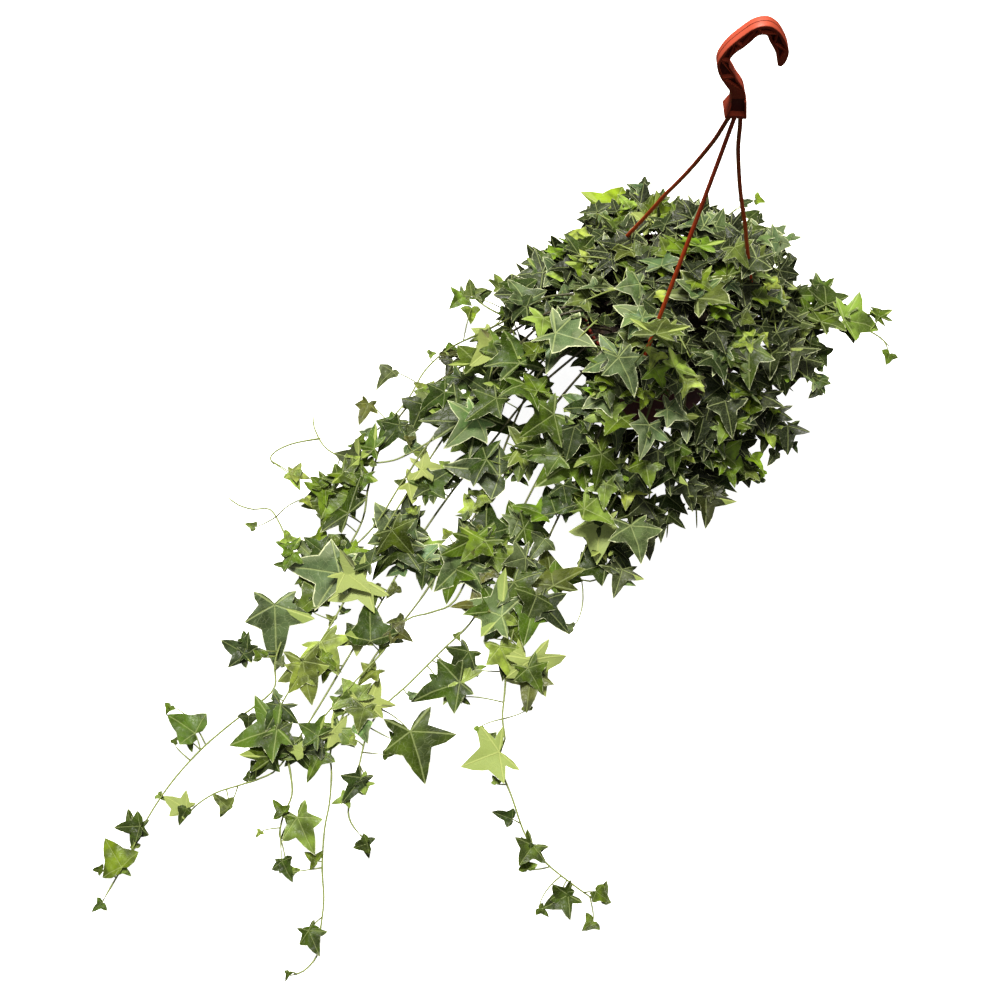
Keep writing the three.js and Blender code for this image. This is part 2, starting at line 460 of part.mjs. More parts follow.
// Crown leaves that stand out in the outline or in colour: x, y, z of the base, direction, length and spread
const crownFeatures = [
  [-173, 0, 36, 116, 22, 0.5], [-180, -1, 34, 244, 20, 0.8], [-169, -11, 34, 287, 16, 0.45],
  [-169, 1, 36, 47, 19, 0], [-148, 1, 59, 118, 21, 0.25], [-133, -4, 64, 115, 33, 0.6],
  [-125, -3, 75, 133, 19, 0.5], [-118, 9, 98, 122, 23, 0.55], [-114, 1, 100, 102, 25, 0.3],
  [-112, 1, 102, 204, 24, 0.85], [-111, 22, 102, 53, 18, 0.25], [-96, 24, 113, 119, 18, 0.3],
  [-95, 20, 114, 53, 13, 0.5], [-89, 39, 116, 157, 19, 0.8], [-77, 5, 129, 83, 19, 0.3],
  [-81, 6, 126, 290, 20, 1], [-94, -7, 115, 191, 15, 1], [-68, -20, 130, 71, 21, 0.9],
  [-97, -43, 101, 284, 23, 0.8], [-132, -13, 65, 275, 19, 0.5], [-94, -29, 110, 52, 8, 0.3],
  [-87, 79, 105, 119, 20, 0.7], [-78, 67, 113, 184, 17, 0.2], [-94, 71, 104, 219, 8, 0.2],
  [-67, 46, 131, 131, 15, 0.8], [-71, 81, 111, 123, 15, 0.65], [-61, 89, 112, 145, 17, 0.8],
  [-54, 96, 112, 46, 17, 0.9], [-64, 107, 104, 118, 15, 0.65], [-35, 104, 114, 145, 13, 0.65],
  [-26, 89, 129, 286, 16, 0.8], [-5, 72, 145, 211, 33, 0.45], [5, 61, 151, 195, 25, 0.75],
  [14, 66, 149, 18, 28, 0.4], [7, 33, 158, 92, 22, 0.9], [33, 18, 188, 327, 20, 0.8],
  [-17, 8, 150, 98, 26, 0.6], [-29, -9, 141, 216, 24, 0.9], [19, -14, 153, 59, 45, 0.6],
  [19, -12, 154, 124, 35, 0.2], [19, -14, 153, 138, 15, 0.2], [32, -13, 154, 8, 24, 0.5],
  [40, -16, 153, 248, 19, 0.4], [58, -16, 150, 0, 13, 0.6], [46, 114, 111, 122, 15, 0.4],
  [42, 157, 95, 9, 11, 0.65], [42, 96, 122, 155, 10, 0.3], [44, 97, 121, 30, 16, 0.1],
  [65, 97, 116, 26, 24, 0.9], [78, 75, 121, 43, 15, 0.95], [86, 63, 122, 123, 7, 0.6],
  [84, 51, 129, 266, 20, 0.4], [74, 32, 143, 319, 24, 0.1], [73, 26, 145, 84, 15, 0.2],
  [72, 30, 145, 121, 11, 0], [-171, -67, 34, 117, 16, 0.4], [-165, -70, 34, 271, 20, 0.65],
  [-150, -83, 34, 224, 16, 0.3], [-134, -51, 50, 245, 32, 0.45], [-141, -39, 48, 252, 26, 0.3],
  [-128, -61, 52, 127, 27, 0.3], [-143, -65, 34, 243, 21, 0.4], [-105, -73, 70, 128, 41, 1],
  [-104, -75, 69, 255, 20, 0.3], [-82, -57, 107, 355, 40, 0.7], [-80, -97, 74, 26, 15, 0.8],
  [-82, -95, 73, 137, 25, 0.1], [-81, -93, 75, 100, 17, 0.1], [-79, -98, 73, 296, 18, 0.75],
  [-81, -93, 75, 43, 15, 0.35], [-37, -107, 92, 167, 25, 0.45], [-45, -51, 131, 101, 16, 0.3],
  [-58, -46, 127, 54, 9, 0.4], [-18, -46, 149, 161, 28, 0.6], [-17, -47, 150, 248, 20, 0.2],
  [-3, -73, 171, 85, 27, 0.9], [-26, -73, 127, 216, 30, 0.5], [-27, -71, 127, 124, 20, 0.2],
  [-25, -74, 127, 316, 34, 0.4], [-17, -57, 136, 251, 21, 0.6], [3, -70, 144, 262, 14, 0.9],
  [20, -71, 134, 74, 22, 0.8], [5, -75, 131, 316, 19, 0.7], [32, -75, 129, 272, 18, 0.7],
  [4, -92, 119, 280, 16, 0.6], [-29, -95, 110, 13, 25, 0.5], [-28, -93, 111, 178, 14, 0.6],
  [-34, -98, 105, 173, 12, 0.4], [-22, -107, 99, 302, 25, 0.9], [-7, -111, 97, 17, 13, 0.9],
  [25, -97, 113, 357, 22, 0.5], [25, -80, 128, 301, 24, 0.2], [12, -94, 117, 141, 13, 0.4],
  [55, -48, 140, 7, 18, 0.9], [71, -26, 141, 219, 20, 0.1], [77, -20, 140, 324, 12, 0.4],
  [71, -33, 139, 285, 37, 0.05], [79, -61, 119, 110, 24, 0.9], [67, -75, 117, 302, 29, 0.7],
  [62, -101, 92, 111, 16, 0.2], [104, -7, 120, 288, 30, 0.6], [95, -33, 122, 304, 21, 0.75],
  [108, -33, 114, 12, 11, 0.5], [121, 10, 111, 6, 17, 0.95], [132, -5, 105, 55, 13, 0.6],
  [121, -5, 110, 295, 22, 0.45], [133, -20, 103, 47, 24, 0.25], [138, -16, 102, 259, 15, 0.8],
  [139, -24, 101, 243, 13, 0], [89, -66, 106, 191, 11, 0.6], [93, -68, 100, 209, 15, 0.3],
  [92, -74, 95, 254, 12, 0.3], [108, -54, 94, 27, 10, 0.4], [114, -53, 90, 328, 9, 0.4],
  [132, -62, 86, 124, 14, 0.45], [114, -62, 81, 324, 12, 0.9], [-53, -108, 82, 348, 9, 0.65],
  [-34, -119, 77, 120, 15, 0.2], [-33, -118, 80, 92, 16, 0.3], [-45, -116, 75, 284, 12, 0.5],
  [21, -114, 92, 142, 24, 0.2], [22, -113, 92, 72, 21, 0.2], [40, -111, 90, 287, 29, 0.1],
  [-22, -144, 51, 137, 14, 0.2], [-21, -144, 51, 82, 14, 0.3], [-30, -153, 40, 141, 11, 0.9],
  [-29, -161, 30, 165, 17, 0.9], [-17, -157, 37, 260, 22, 0.8], [-12, -158, 37, 33, 18, 0.7],
  [-14, -127, 73, 327, 10, 0.8], [-9, -131, 68, 324, 17, 0.3], [7, -139, 61, 51, 15, 0.9],
  [16, -125, 76, 338, 9, 0.6], [19, -129, 72, 344, 14, 0.3], [16, -142, 56, 282, 23, 1],
  [-5, -145, 52, 344, 14, 0.6], [9, -140, 59, 21, 9, 0.5], [25, -121, 81, 330, 11, 0.4],
  [33, -148, 47, 244, 21, 0.65], [35, -159, 35, 238, 17, 0.2], [8, -175, 30, 186, 17, 0.8],
  [14, -188, 30, 237, 24, 0.75], [4, -170, 30, 282, 41, 0], [39, -169, 30, 312, 25, 0.9],
  [39, -171, 30, 244, 20, 0.4], [29, -181, 30, 246, 9, 0.3], [20, -189, 30, 339, 19, 0.5],
  [47, -153, 38, 303, 24, 0.75], [51, -153, 37, 259, 15, 0.2], [56, -149, 40, 346, 18, 0.25],
  [51, -113, 83, 340, 11, 0.4], [80, -127, 52, 287, 27, 0.65], [83, -123, 54, 8, 16, 0.8],
  [83, -122, 56, 218, 16, 0.3], [74, -99, 85, 336, 12, 0.9], [80, -104, 75, 229, 14, 0.7],
  [91, -105, 67, 304, 15, 0.6], [113, -96, 58, 215, 18, 0.25], [106, -87, 70, 322, 16, 0.95],
  [105, -99, 62, 39, 22, 0.55], [124, -73, 65, 260, 16, 0], [125, -58, 86, 287, 24, 0.45],
  [111, -65, 82, 304, 16, 0.7], [122, -63, 73, 312, 14, 0.5], [48, 13, 173, 41, 18, 0.6],
];

// Every stem starts upright in its hole in the soil
function rootPoints(radius, angle) {
  const soilTop = soilEdgeHeight + soilMound * (1 - radius / rimRadius);
  return [polar(radius, angle, soilTop - holeDepth), polar(radius, angle, soilTop + 3)];
}

function trailPoints(trail, i) {
  const over = [polar(66, trail.rim, 114), polar(78, trail.rim, 121), polar(86 + trail.bow, trail.rim, 112)];
  return [...rootPoints(60 - 7 * (i % 2), trail.rim), ...over, ...trail.path.map((place) => point(...place))];
}

function skirtPoints(skirt, i) {
  const end = point(...skirt.end);
  const over = [polar(66, skirt.rim, 115), polar(79, skirt.rim, 122), polar(91, skirt.rim, 108)];
  const middle = polar(97, skirt.rim, 70).lerp(end, 0.35);
  return [...rootPoints(60 - 7 * (i % 2), skirt.rim), ...over, middle, end];
}

function crownPoints(i) {
  const share = (i + 0.5) / crownStems;
  const angle = i * 137.508 + 8;
  const rootRadius = 8 + 36 * Math.sqrt(share);
  const reach = 42 + 62 * Math.sqrt(share);
  return [
    ...rootPoints(rootRadius, angle),
    polar(rootRadius + 4, angle, 120 - 4 * share),
    polar(rootRadius + 0.45 * (reach - rootRadius), angle + 4, 140 - 12 * share),
    polar(reach, angle + 12, 142 - 16 * share),
  ];
}

// Points along a stem's curve, about a step apart
function stemCurve(points, step) {
  const curve = new THREE.CatmullRomCurve3(points, false, 'catmullrom', 0.5);
  const spans = points.length - 1;
  const line = [points[0].clone()];
  for (let span = 0; span < spans; span += 1) {
    const pieces = Math.max(1, Math.round(points[span].distanceTo(points[span + 1]) / step));
    for (let piece = 1; piece <= pieces; piece += 1) {
      line.push(curve.getPoint((span + piece / pieces) / spans));
    }
  }
  return line;
}

// A three-sided tube that narrows from its root to its tip
function stemTube(line, rootSize, tipSize) {
  const vertices = [];
  const faces = [[0, 2, 1]];
  const side = point(1, 0, 0);
  line.forEach((place, i) => {
    const direction = line[Math.min(i + 1, line.length - 1)].clone().sub(line[Math.max(i - 1, 0)]).normalize();
    side.addScaledVector(direction, -side.dot(direction)).normalize();
    const other = direction.clone().cross(side);
    const size = rootSize + ((tipSize - rootSize) * i) / (line.length - 1);
    for (let k = 0; k < 3; k += 1) {
      const turn = (k * 2 * Math.PI) / 3;
      const corner = place.clone().addScaledVector(side, size * Math.cos(turn));
      vertices.push(corner.addScaledVector(other, size * Math.sin(turn)));
    }
    if (i > 0) {
      for (let k = 0; k < 3; k += 1) {
        const a = 3 * i - 3 + k;
        const b = 3 * i - 3 + ((k + 1) % 3);
        faces.push([a, b, b + 3], [a, b + 3, a + 3]);
      }
    }
  });
  const last = vertices.length - 3;
  faces.push([last, last + 1, last + 2]);
  return solidOf(meshGeometry(vertices, faces));
}

// Points of the left half of a blade's edge from its base to its tip, as shares of its length:
// each with the lobes close and with the lobes wide

const fiveLobes = [
  [[-0.2, 0.29], [-0.32, 0.58]], [[0.02, 0.22], [-0.03, 0.36]],
  [[0.3, 0.5], [0.19, 0.84]], [[0.4, 0.17], [0.37, 0.26]],
];
const threeLobes = [[[0.1, 0.42], [0.04, 0.66]], [[0.38, 0.17], [0.36, 0.25]]];
const bladeMiddle = [0.2, 0];
const leastFiveLobed = 25;

function bladeEdge(length, star) {
  const lobes = length > leastFiveLobed ? fiveLobes : threeLobes;
  const half = lobes.map(([close, wide]) => close.map((value, k) => value + (wide[k] - value) * star));
  return [...half, [1, 0], ...half.map(([x, y]) => [x, -y]).reverse()];
}

// A blade is folded along its midrib and its tip bends down
function bladePoint(leaf, x, y, lift) {
  const side = leaf.normal.clone().cross(leaf.direction);
  const height = leaf.length * (leaf.fold * Math.abs(y) - leaf.droop * x * x) + lift;
  const place = leaf.base.clone().addScaledVector(leaf.direction, x * leaf.length);
  return place.addScaledVector(side, y * leaf.length).addScaledVector(leaf.normal, height);
}

// Both faces share their pointed corners, and the base is left open where the petiole joins it
function leafSolid(leaf) {
  const lift = bladeThickness / 2;
  const edge = bladeEdge(leaf.length, leaf.star);
  const vertices = [bladePoint(leaf, ...bladeMiddle, lift), bladePoint(leaf, ...bladeMiddle, -lift)];
  const faces = [];
  const upper = [];
  const lower = [];
  edge.forEach(([x, y], i) => {
    const pointed = i % 2 === 0;
    upper.push(vertices.length);
    vertices.push(bladePoint(leaf, x, y, pointed ? 0 : lift));
    lower.push(pointed ? upper[i] : vertices.length);
    if (!pointed) vertices.push(bladePoint(leaf, x, y, -lift));
  });
  for (let i = 0; i < edge.length - 1; i += 1) {
    const valley = i + 1 - (i % 2);
    const wall = i % 2 === 0 ? [upper[i], upper[valley], lower[valley]] : [upper[i + 1], lower[valley], upper[valley]];
    faces.push([0, upper[i + 1], upper[i]], [1, lower[i], lower[i + 1]], wall);
  }
  const neck = 0.6 / leaf.length;
  const left = vertices.length;
  const right = left + 1;
  const low = left + 2;
  const last = upper[edge.length - 1];
  vertices.push(bladePoint(leaf, 0, neck, lift), bladePoint(leaf, 0, -neck, lift), bladePoint(leaf, 0, 0, -2 * lift));
  faces.push([0, upper[0], left], [0, left, right], [0, right, last], [1, low, upper[0]], [1, last, low]);
  faces.push([upper[0], low, left], [last, right, low]);
  addPetiole(leaf, vertices, faces, [left, right, low]);
  return solidOf(meshGeometry(vertices, faces));
}

// The petiole leaves the blade's base and bends to the stem that carries it
function petiolePlaces(leaf) {
  const run = leaf.root.clone().sub(leaf.base);
  const length = run.length();
  const middle = leaf.base.clone().addScaledVector(run, 0.4).addScaledVector(leaf.direction, -0.2 * length);
  return length > longPetiole ? [middle, leaf.root] : [leaf.root];
}

function addPetiole(leaf, vertices, faces, neck) {
  const across = leaf.normal.clone().cross(leaf.direction);
  const lift = leaf.normal.clone();
  const heading = leaf.direction.clone().negate();
  const bend = new THREE.Quaternion();
  let before = leaf.base;
  let ring = neck;
  for (const place of petiolePlaces(leaf)) {
    const next = place.clone().sub(before).normalize();
    bend.setFromUnitVectors(heading, next);
    across.applyQuaternion(bend);
    lift.applyQuaternion(bend);
    heading.copy(next);
    const first = vertices.length;
    const size = place === leaf.root ? petioleRootRadius : petioleRadius;
    vertices.push(place.clone().addScaledVector(across, size).addScaledVector(lift, size / 2));
    vertices.push(place.clone().addScaledVector(across, -size).addScaledVector(lift, size / 2));
    vertices.push(place.clone().addScaledVector(lift, -size));
    for (let k = 0; k < 3; k += 1) {
      const m = (k + 1) % 3;
      faces.push([ring[k], first + k, first + m], [ring[k], first + m, ring[m]]);
    }
    ring = [first, first + 1, first + 2];
    before = place;
  }
  faces.push([ring[0], ring[2], ring[1]]);
}

// A leaf's frame from the direction of its long lobe, the lift of its tip and the roll of its blade
function placedLeaf(seed, base, heading, length, tilt, roll, star = draw(seed, 13)) {
  const direction = polar(Math.cos(degrees(tilt)), heading, Math.sin(degrees(tilt)));
  const side = polar(1, heading + 90, 0);
  const normal = direction.clone().cross(side);
  normal.multiplyScalar(Math.cos(degrees(roll))).addScaledVector(side, Math.sin(degrees(roll)));
  const fold = 0.12 + 0.2 * draw(seed, 1);
  const droop = 0.04 + 0.16 * draw(seed, 2);
  const leaf = { seed, base, direction, normal, length, star, fold, droop };
  const edge = bladeEdge(length, star).map(([x, y]) => bladePoint(leaf, x, y, -bladeThickness).z);
  base.z += Math.max(0, 0.6 - Math.min(...edge));
  return leaf;
}

// The root of a petiole is the nearest place on a stem, behind the blade rather than in front of it
function attach(leaf, stems) {
  let least = Infinity;
  for (const stem of stems) {
    for (const place of stem.reach) {
      const run = place.clone().sub(leaf.base);
      const distance = run.length() * (1.2 + Math.max(-0.2, run.dot(leaf.direction) / (run.length() + 0.01)));
      if (distance < least) {
        least = distance;
        leaf.root = place;
        leaf.node = stem.node;
      }
    }
  }
  return leaf;
}

// Places on the straight pieces of a line, about a step apart
function placesAlong(line, step) {
  return line.slice(1).flatMap((end, i) => {
    const count = Math.max(1, Math.round(end.distanceTo(line[i]) / step));
    return Array.from({ length: count }, (_, k) => line[i].clone().lerp(end, (k + 0.5) / count));
  });
}

function nearest(place, places) {
  return places.reduce((a, b) => (a.distanceTo(place) < b.distanceTo(place) ? a : b));
}

function makeStem(node, points, branch) {
  const lines = [stemCurve(points, stemStep)];
  if (branch) {
    const twig = branch.map((place) => point(...place));
    twig[0] = nearest(twig[0], placesAlong(lines[0], reachStep));
    lines.push(stemCurve(twig, stemStep));
  }
  const reach = lines.flatMap((line, i) => placesAlong(line, reachStep).slice(i === 0 ? 5 : 0));
  return { node, lines, reach, root: points[0] };
}

function allStems() {
  const stems = Object.entries(trails).map(([node, trail], i) => makeStem(node, trailPoints(trail, i), trail.branch));
  skirtStems.forEach((skirt, i) => stems.push(makeStem(`ivy_skirt_${i + 1}`, skirtPoints(skirt, i))));
  for (let i = 0; i < crownStems; i += 1) stems.push(makeStem(`ivy_crown_${i + 1}`, crownPoints(i)));
  return stems;
}

// Every large leaf is kept, and fewer of the small ones
function chosenRank(leaf) {
  return leaf.length < smallLeaf ? 0.01 + smallLeafRank * draw(leaf.seed, 12) : 0;
}

// Leaves that are placed one by one: on the trailing stems and in the crown
function chosenLeaves(stems) {
  const leaves = [];
  Object.entries(trails).forEach(([node, trail], t) => {
    const stem = stems.filter((other) => other.node === node);
    trail.leaves.forEach(([x, y, heading, length, star], i) => {
      const seed = 100 * t + i;
      const base = point(x, y, 0);
      base.z = nearest(base, stem[0].reach).z + 2 + 5 * draw(seed, 3);
      const leaf = placedLeaf(seed, base, heading, length, spread(seed, 4, 8), spread(seed, 5, 14), star);
      leaves.push({ ...attach(leaf, stem), rank: chosenRank(leaf) });
    });
  });
  const carriers = stems.filter((stem) => !stem.node.startsWith('ivy_trail'));
  crownFeatures.forEach(([x, y, z, heading, length, star], i) => {
    const seed = 2000 + i;
    const tilt = spread(seed, 4, 12) - 4;
    const leaf = placedLeaf(seed, point(x, y, z), heading, length, tilt, spread(seed, 5, 22), star);
    leaves.push({ ...attach(leaf, carriers), rank: chosenRank(leaf) });
  });
  return leaves;
}

// Places in the order of growth where no leaf grows, so that the surface or the pot shows
const bare = new Set([
  3002, 3004, 3006, 3007, 3009, 3060, 3061, 3063, 3065, 3067, 3069, 3120, 3122, 3125, 3126, 3128, 3129, 3130,
  3180, 3184, 3188, 3189, 3190, 3245, 3250, 3300, 3303, 3305, 3306, 3307, 3308, 3309, 3310, 3311, 3360, 3365,
  3366, 3367, 3368, 3422, 3424, 3425, 3426, 3427, 3428, 3485, 3486, 3489, 3490, 3491, 3541, 3542, 3545, 3546,
  3547, 3548, 3550, 3604, 3605, 3606, 3661, 3662, 3663, 3725, 3780, 3785, 3844, 3905, 3963, 3964, 4021, 4082,
  4563, 5012, 5013, 5014, 5015, 5016, 5017, 5018, 5019, 5022, 6022, 6032, 6072, 6077, 6081, 6085, 6090, 6092,
  6121, 6134, 6141, 6158, 6160, 6181, 6183, 6190, 6220, 6224, 6230, 6232, 6260, 6269, 6272, 6281, 6282, 6285,
  6326, 6334, 6343, 6357, 6360, 6371, 6374, 6383, 6392, 6413, 6440, 6448, 6458, 6485, 6497, 6508, 6515,
]);

// Leaves in turn to the left and right of the trailing and hanging stems
function leavesAlong(stem, order, spacing, sizes) {
  const leaves = [];
  const line = stem.reach;
  let left = spacing;
  for (let i = 8; i < line.length - 1; i += 1) {
    left -= line[i].distanceTo(line[i - 1]);
    if (left > 0 || line[i].length() > fillReach) continue;
    const seed = 3000 + 60 * order + leaves.length;
    left = spacing * (0.7 + 0.6 * draw(seed, 6));
    const forward = line[i + 1].clone().sub(line[i - 1]);
    const course = THREE.MathUtils.radToDeg(Math.atan2(forward.y, forward.x));
    const turn = (leaves.length % 2 ? 1 : -1) * (35 + 50 * draw(seed, 7));
    const stalk = 9 + 16 * draw(seed, 8);
    const base = line[i].clone().add(polar(stalk, course + turn, 3 + 9 * draw(seed, 9)));
    const length = sizes[0] + (sizes[1] - sizes[0]) * draw(seed, 10);
    const heading = course + turn + spread(seed, 11, 60);
    const leaf = placedLeaf(seed, base, heading, length, spread(seed, 4, 18) - 6, spread(seed, 5, 24));
    leaves.push({ ...leaf, root: line[i], node: stem.node, rank: 0.02 + draw(seed, 12) });
  }
  return leaves;
}

// A young leaf at the end of a hanging stem
function endLeaf(stem, order) {
  const seed = 5000 + order;
  const [before, root] = stem.reach.slice(-2);
  const course = THREE.MathUtils.radToDeg(Math.atan2(root.y - before.y, root.x - before.x));
  const base = root.clone().add(polar(5, course, 0));
  const leaf = placedLeaf(seed, base, course + spread(seed, 11, 30), 15 + 5 * draw(seed, 10), -8, spread(seed, 5, 20));
  return { ...leaf, root, node: stem.node, rank: 0 };
}

// The crown's canopy is spread evenly over a low dome, its leaves facing up and outwards
function canopy(stems) {
  const leaves = [];
  for (let i = 0; i < canopyLeaves; i += 1) {
    const seed = 6000 + i;
    const share = Math.sqrt((0.5 + i * 0.5698403) % 1);
    const angle = 360 * ((0.5 + i * 0.7548777) % 1);
    const radius = crownRadius * share * (1 + spread(seed, 3, 0.06));
    const fall = crownFall * share ** 3;
    const depth = i % 2 ? 22 * draw(seed, 6) : 0;
    const height = crownTop + 10 * Math.cos(degrees(angle - 40)) - fall - depth - 4 + spread(seed, 7, 6);
    const base = polar(radius, angle, height);
    const heading = angle + spread(seed, 8, 120);
    const outward = Math.cos(degrees(heading - angle));
    const tilt = -38 * share ** 2 * outward + spread(seed, 4, 20);
    const roll = 32 * share ** 2 * Math.sin(degrees(heading - angle)) + spread(seed, 5, 22);
    const leaf = placedLeaf(seed, base, heading, 14 + 13 * draw(seed, 9), tilt, roll);
    leaves.push({ ...attach(leaf, stems), rank: (i + 1) / canopyLeaves });
  }
  return leaves;
}

function allLeaves(stems) {
  const leaves = chosenLeaves(stems);
  stems.forEach((stem, i) => {
    if (stem.node.startsWith('ivy_trail')) leaves.push(...leavesAlong(stem, i, fillSpacing, [22, 36]));
    if (stem.node.startsWith('ivy_skirt')) {
      leaves.push(endLeaf(stem, i), ...leavesAlong(stem, i, skirtSpacing, [20, 31]));
    }
  });
  leaves.push(...canopy(stems));
  const grown = leaves.filter((leaf) => leaf.rank < solidShare && !bare.has(leaf.seed));
  return grown.sort((a, b) => a.rank - b.rank);
}

// A body joins the model only where it crosses nothing that is already there
function crosses(body, others) {
  const box = body.boundingBox();
  return others.some((other) => {
    const near = [0, 1, 2].every((axis) => box.min[axis] < other.box.max[axis] && other.box.min[axis] < box.max[axis]);
    return near && body.intersect(other.solid).volume() > leastOverlap;
  });
}

// A leaf is bent up or down until it is clear, and left out where it never is
function clearLeaf(leaf, inWay) {
  for (const clearance of clearances) {
    const solid = leafSolid({ ...leaf, base: leaf.base.clone().add(point(0, 0, clearance)) });
    if (solid.boundingBox().min[2] > 0 && !crosses(solid, inWay)) return solid;
  }
  return null;
}

function buildIvy(hardParts) {
  const stems = allStems();
  const placed = hardParts.map((solid) => ({ node: 'hard', solid, box: solid.boundingBox() }));
  const bodies = new Map(stems.map((stem) => [stem.node, []]));
  for (const stem of stems) {
    for (const line of stem.lines) {
      const tube = stemTube(line, line === stem.lines[0] ? stemRadius : stemTipRadius, stemTipRadius);
      bodies.get(stem.node).push(tube);
      placed.push({ node: stem.node, stem: true, solid: tube, box: tube.boundingBox() });
    }
  }
  for (const leaf of allLeaves(stems)) {
    const inWay = placed.filter((other) => !(other.stem && other.node === leaf.node));
    const solid = clearLeaf(leaf, inWay);
    if (solid) {
      bodies.get(leaf.node).push(solid);
      placed.push({ node: leaf.node, solid, box: solid.boundingBox() });
    }
  }
  for (const stem of stems) {
    const material = stem.node.startsWith('ivy_trail') ? trailGreen : crownGreen;
    const pieces = wasm.Manifold.union(bodies.get(stem.node)).decompose();
    pieces.sort((a, b) => b.volume() - a.volume());
    addPart(stem.node, pieces[0], material);
  }
  return stems;
}

const roots = allStems().map((stem) => stem.root);
const potSolid = hangingPot();
const soilSolid = soil(roots);
const hookSolid = hangerHook();
const strapSolids = Object.entries(strapAngles).map(([side, angle]) => [`hanger_strap_${side}`, hangerStrap(angle)]);
addPart('hanging_pot', potSolid, potPlastic);
addPart('soil', soilSolid, pottingMix);
addPart('hanger_hook', hookSolid, hangerPlastic);
for (const [name, solid] of strapSolids) addPart(name, solid, hangerPlastic);
buildIvy([potSolid, soilSolid, hookSolid, ...strapSolids.map(([, solid]) => solid)]);

export default group;
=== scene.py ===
import math

import bmesh
import bpy
from mathutils import Matrix, Vector, noise


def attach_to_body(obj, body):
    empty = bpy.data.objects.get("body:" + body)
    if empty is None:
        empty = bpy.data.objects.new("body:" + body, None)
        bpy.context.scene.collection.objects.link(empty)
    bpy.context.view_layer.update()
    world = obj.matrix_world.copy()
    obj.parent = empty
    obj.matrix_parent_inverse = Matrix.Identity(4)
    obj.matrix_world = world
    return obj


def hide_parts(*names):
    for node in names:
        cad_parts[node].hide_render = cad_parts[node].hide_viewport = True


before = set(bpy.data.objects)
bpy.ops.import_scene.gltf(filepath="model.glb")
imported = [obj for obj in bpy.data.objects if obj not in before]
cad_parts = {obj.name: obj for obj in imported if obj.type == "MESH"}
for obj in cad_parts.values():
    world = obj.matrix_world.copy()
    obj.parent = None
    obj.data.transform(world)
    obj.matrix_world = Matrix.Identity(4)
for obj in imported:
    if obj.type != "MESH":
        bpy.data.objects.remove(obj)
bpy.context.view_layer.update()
mm = 0.001  # everything is laid out in millimetres, as the solids are, and scaled at the end


# Camera

view = {
    "focalPixels": 1180, "widthPixels": 1000, "sensor": 36, "place": (0, -0.6104, 0.925),
    "pitch": 64.05, "yaw": -10.79, "roll": -9.35,
}


def makeCamera():
    pitch, yaw, roll = (math.radians(view[name]) for name in ("pitch", "yaw", "roll"))
    ahead = Vector((math.sin(yaw) * math.cos(pitch), math.cos(yaw) * math.cos(pitch), -math.sin(pitch)))
    across = Vector((math.cos(yaw), -math.sin(yaw), 0))
    above = across.cross(ahead)
    right = across * math.cos(roll) - above * math.sin(roll)
    top = across * math.sin(roll) + above * math.cos(roll)
    lens = bpy.data.cameras.new("camera")
    lens.sensor_width = view["sensor"]
    lens.lens = view["focalPixels"] * view["sensor"] / view["widthPixels"]
    camera = bpy.data.objects.new("camera", lens)
    turn = Matrix((right, top, -ahead)).transposed().to_4x4()
    camera.matrix_world = Matrix.Translation(view["place"]) @ turn
    bpy.context.scene.collection.objects.link(camera)
    bpy.context.scene.camera = camera


makeCamera()
print("camera set")


# Shader sums in Python

class Socket:
    def __init__(self, tree, output=None):
        self.tree = tree
        self.output = output

    def node(self, kind, settings, values, output=0):
        made = self.tree.nodes.new("ShaderNode" + kind)
        for name, value in settings.items():
            if name == "stops":
                ramp = made.color_ramp
                while len(ramp.elements) < len(value):
                    ramp.elements.new(1)
                for stop, (position, tint) in zip(ramp.elements, value):
                    stop.position, stop.color = position, tint
            else:
                setattr(made, name, value)
        for name, value in values.items():
            if isinstance(value, Socket):
                self.tree.links.new(value.output, made.inputs[name])
            else:
                made.inputs[name].default_value = value
        return Socket(self.tree, made.outputs[output]) if made.outputs else None

    def maths(self, operation, first, second=0.0):
        return self.node("Math", {"operation": operation}, {0: first, 1: second})

    def __add__(self, other):
        return self.maths("ADD", self, other)

    def __sub__(self, other):
        return self.maths("SUBTRACT", self, other)

    def __rsub__(self, other):
        return self.maths("SUBTRACT", other, self)

    def __mul__(self, other):
        return self.maths("MULTIPLY", self, other)

    def __abs__(self):
        return self.maths("ABSOLUTE", self)

    def least(self, other):
        return self.maths("MINIMUM", self, other)

    def rise(self, low, high):  # 0 below low, 1 above high, smooth between
        settings = {"interpolation_type": "SMOOTHSTEP"}
        return self.node("MapRange", settings, {"Value": self, "From Min": low, "From Max": high})

    def mix(self, first, second):  # this number blends two colours
        return self.node("Mix", {"data_type": "RGBA"}, {0: self, 6: first, 7: second}, 2)

    def axes(self):
        return [self.node("SeparateXYZ", {}, {0: self}, i) for i in range(3)]

    def cloud(self, scale, detail=2.0, seed=0.0):  # noise over this vector, from 0 to 1
        settings = {"noise_dimensions": "4D"}
        values = {"Vector": self, "Scale": scale, "Detail": detail, "W": seed}
        return self.node("TexNoise", settings, values)


def tint(text):
    parts = [int(text[i:i + 2], 16) / 255 for i in (1, 3, 5)]
    return [part / 12.92 if part < 0.04045 else ((part + 0.055) / 1.055) ** 2.4 for part in parts] + [1]


def newMaterial(name, paint, **constants):
    material = bpy.data.materials.new(name)
    material.use_nodes = True
    material.node_tree.nodes.clear()
    base = Socket(material.node_tree)
    values = {**constants, **paint(base)}
    shader = base.node("BsdfPrincipled", {}, values)
    base.node("OutputMaterial", {}, {"Surface": shader})
    return material


def bump(base, height, distance, strength=1.0):
    return base.node("Bump", {}, {"Height": height, "Distance": distance, "Strength": strength})


# Leaf and stem finishes

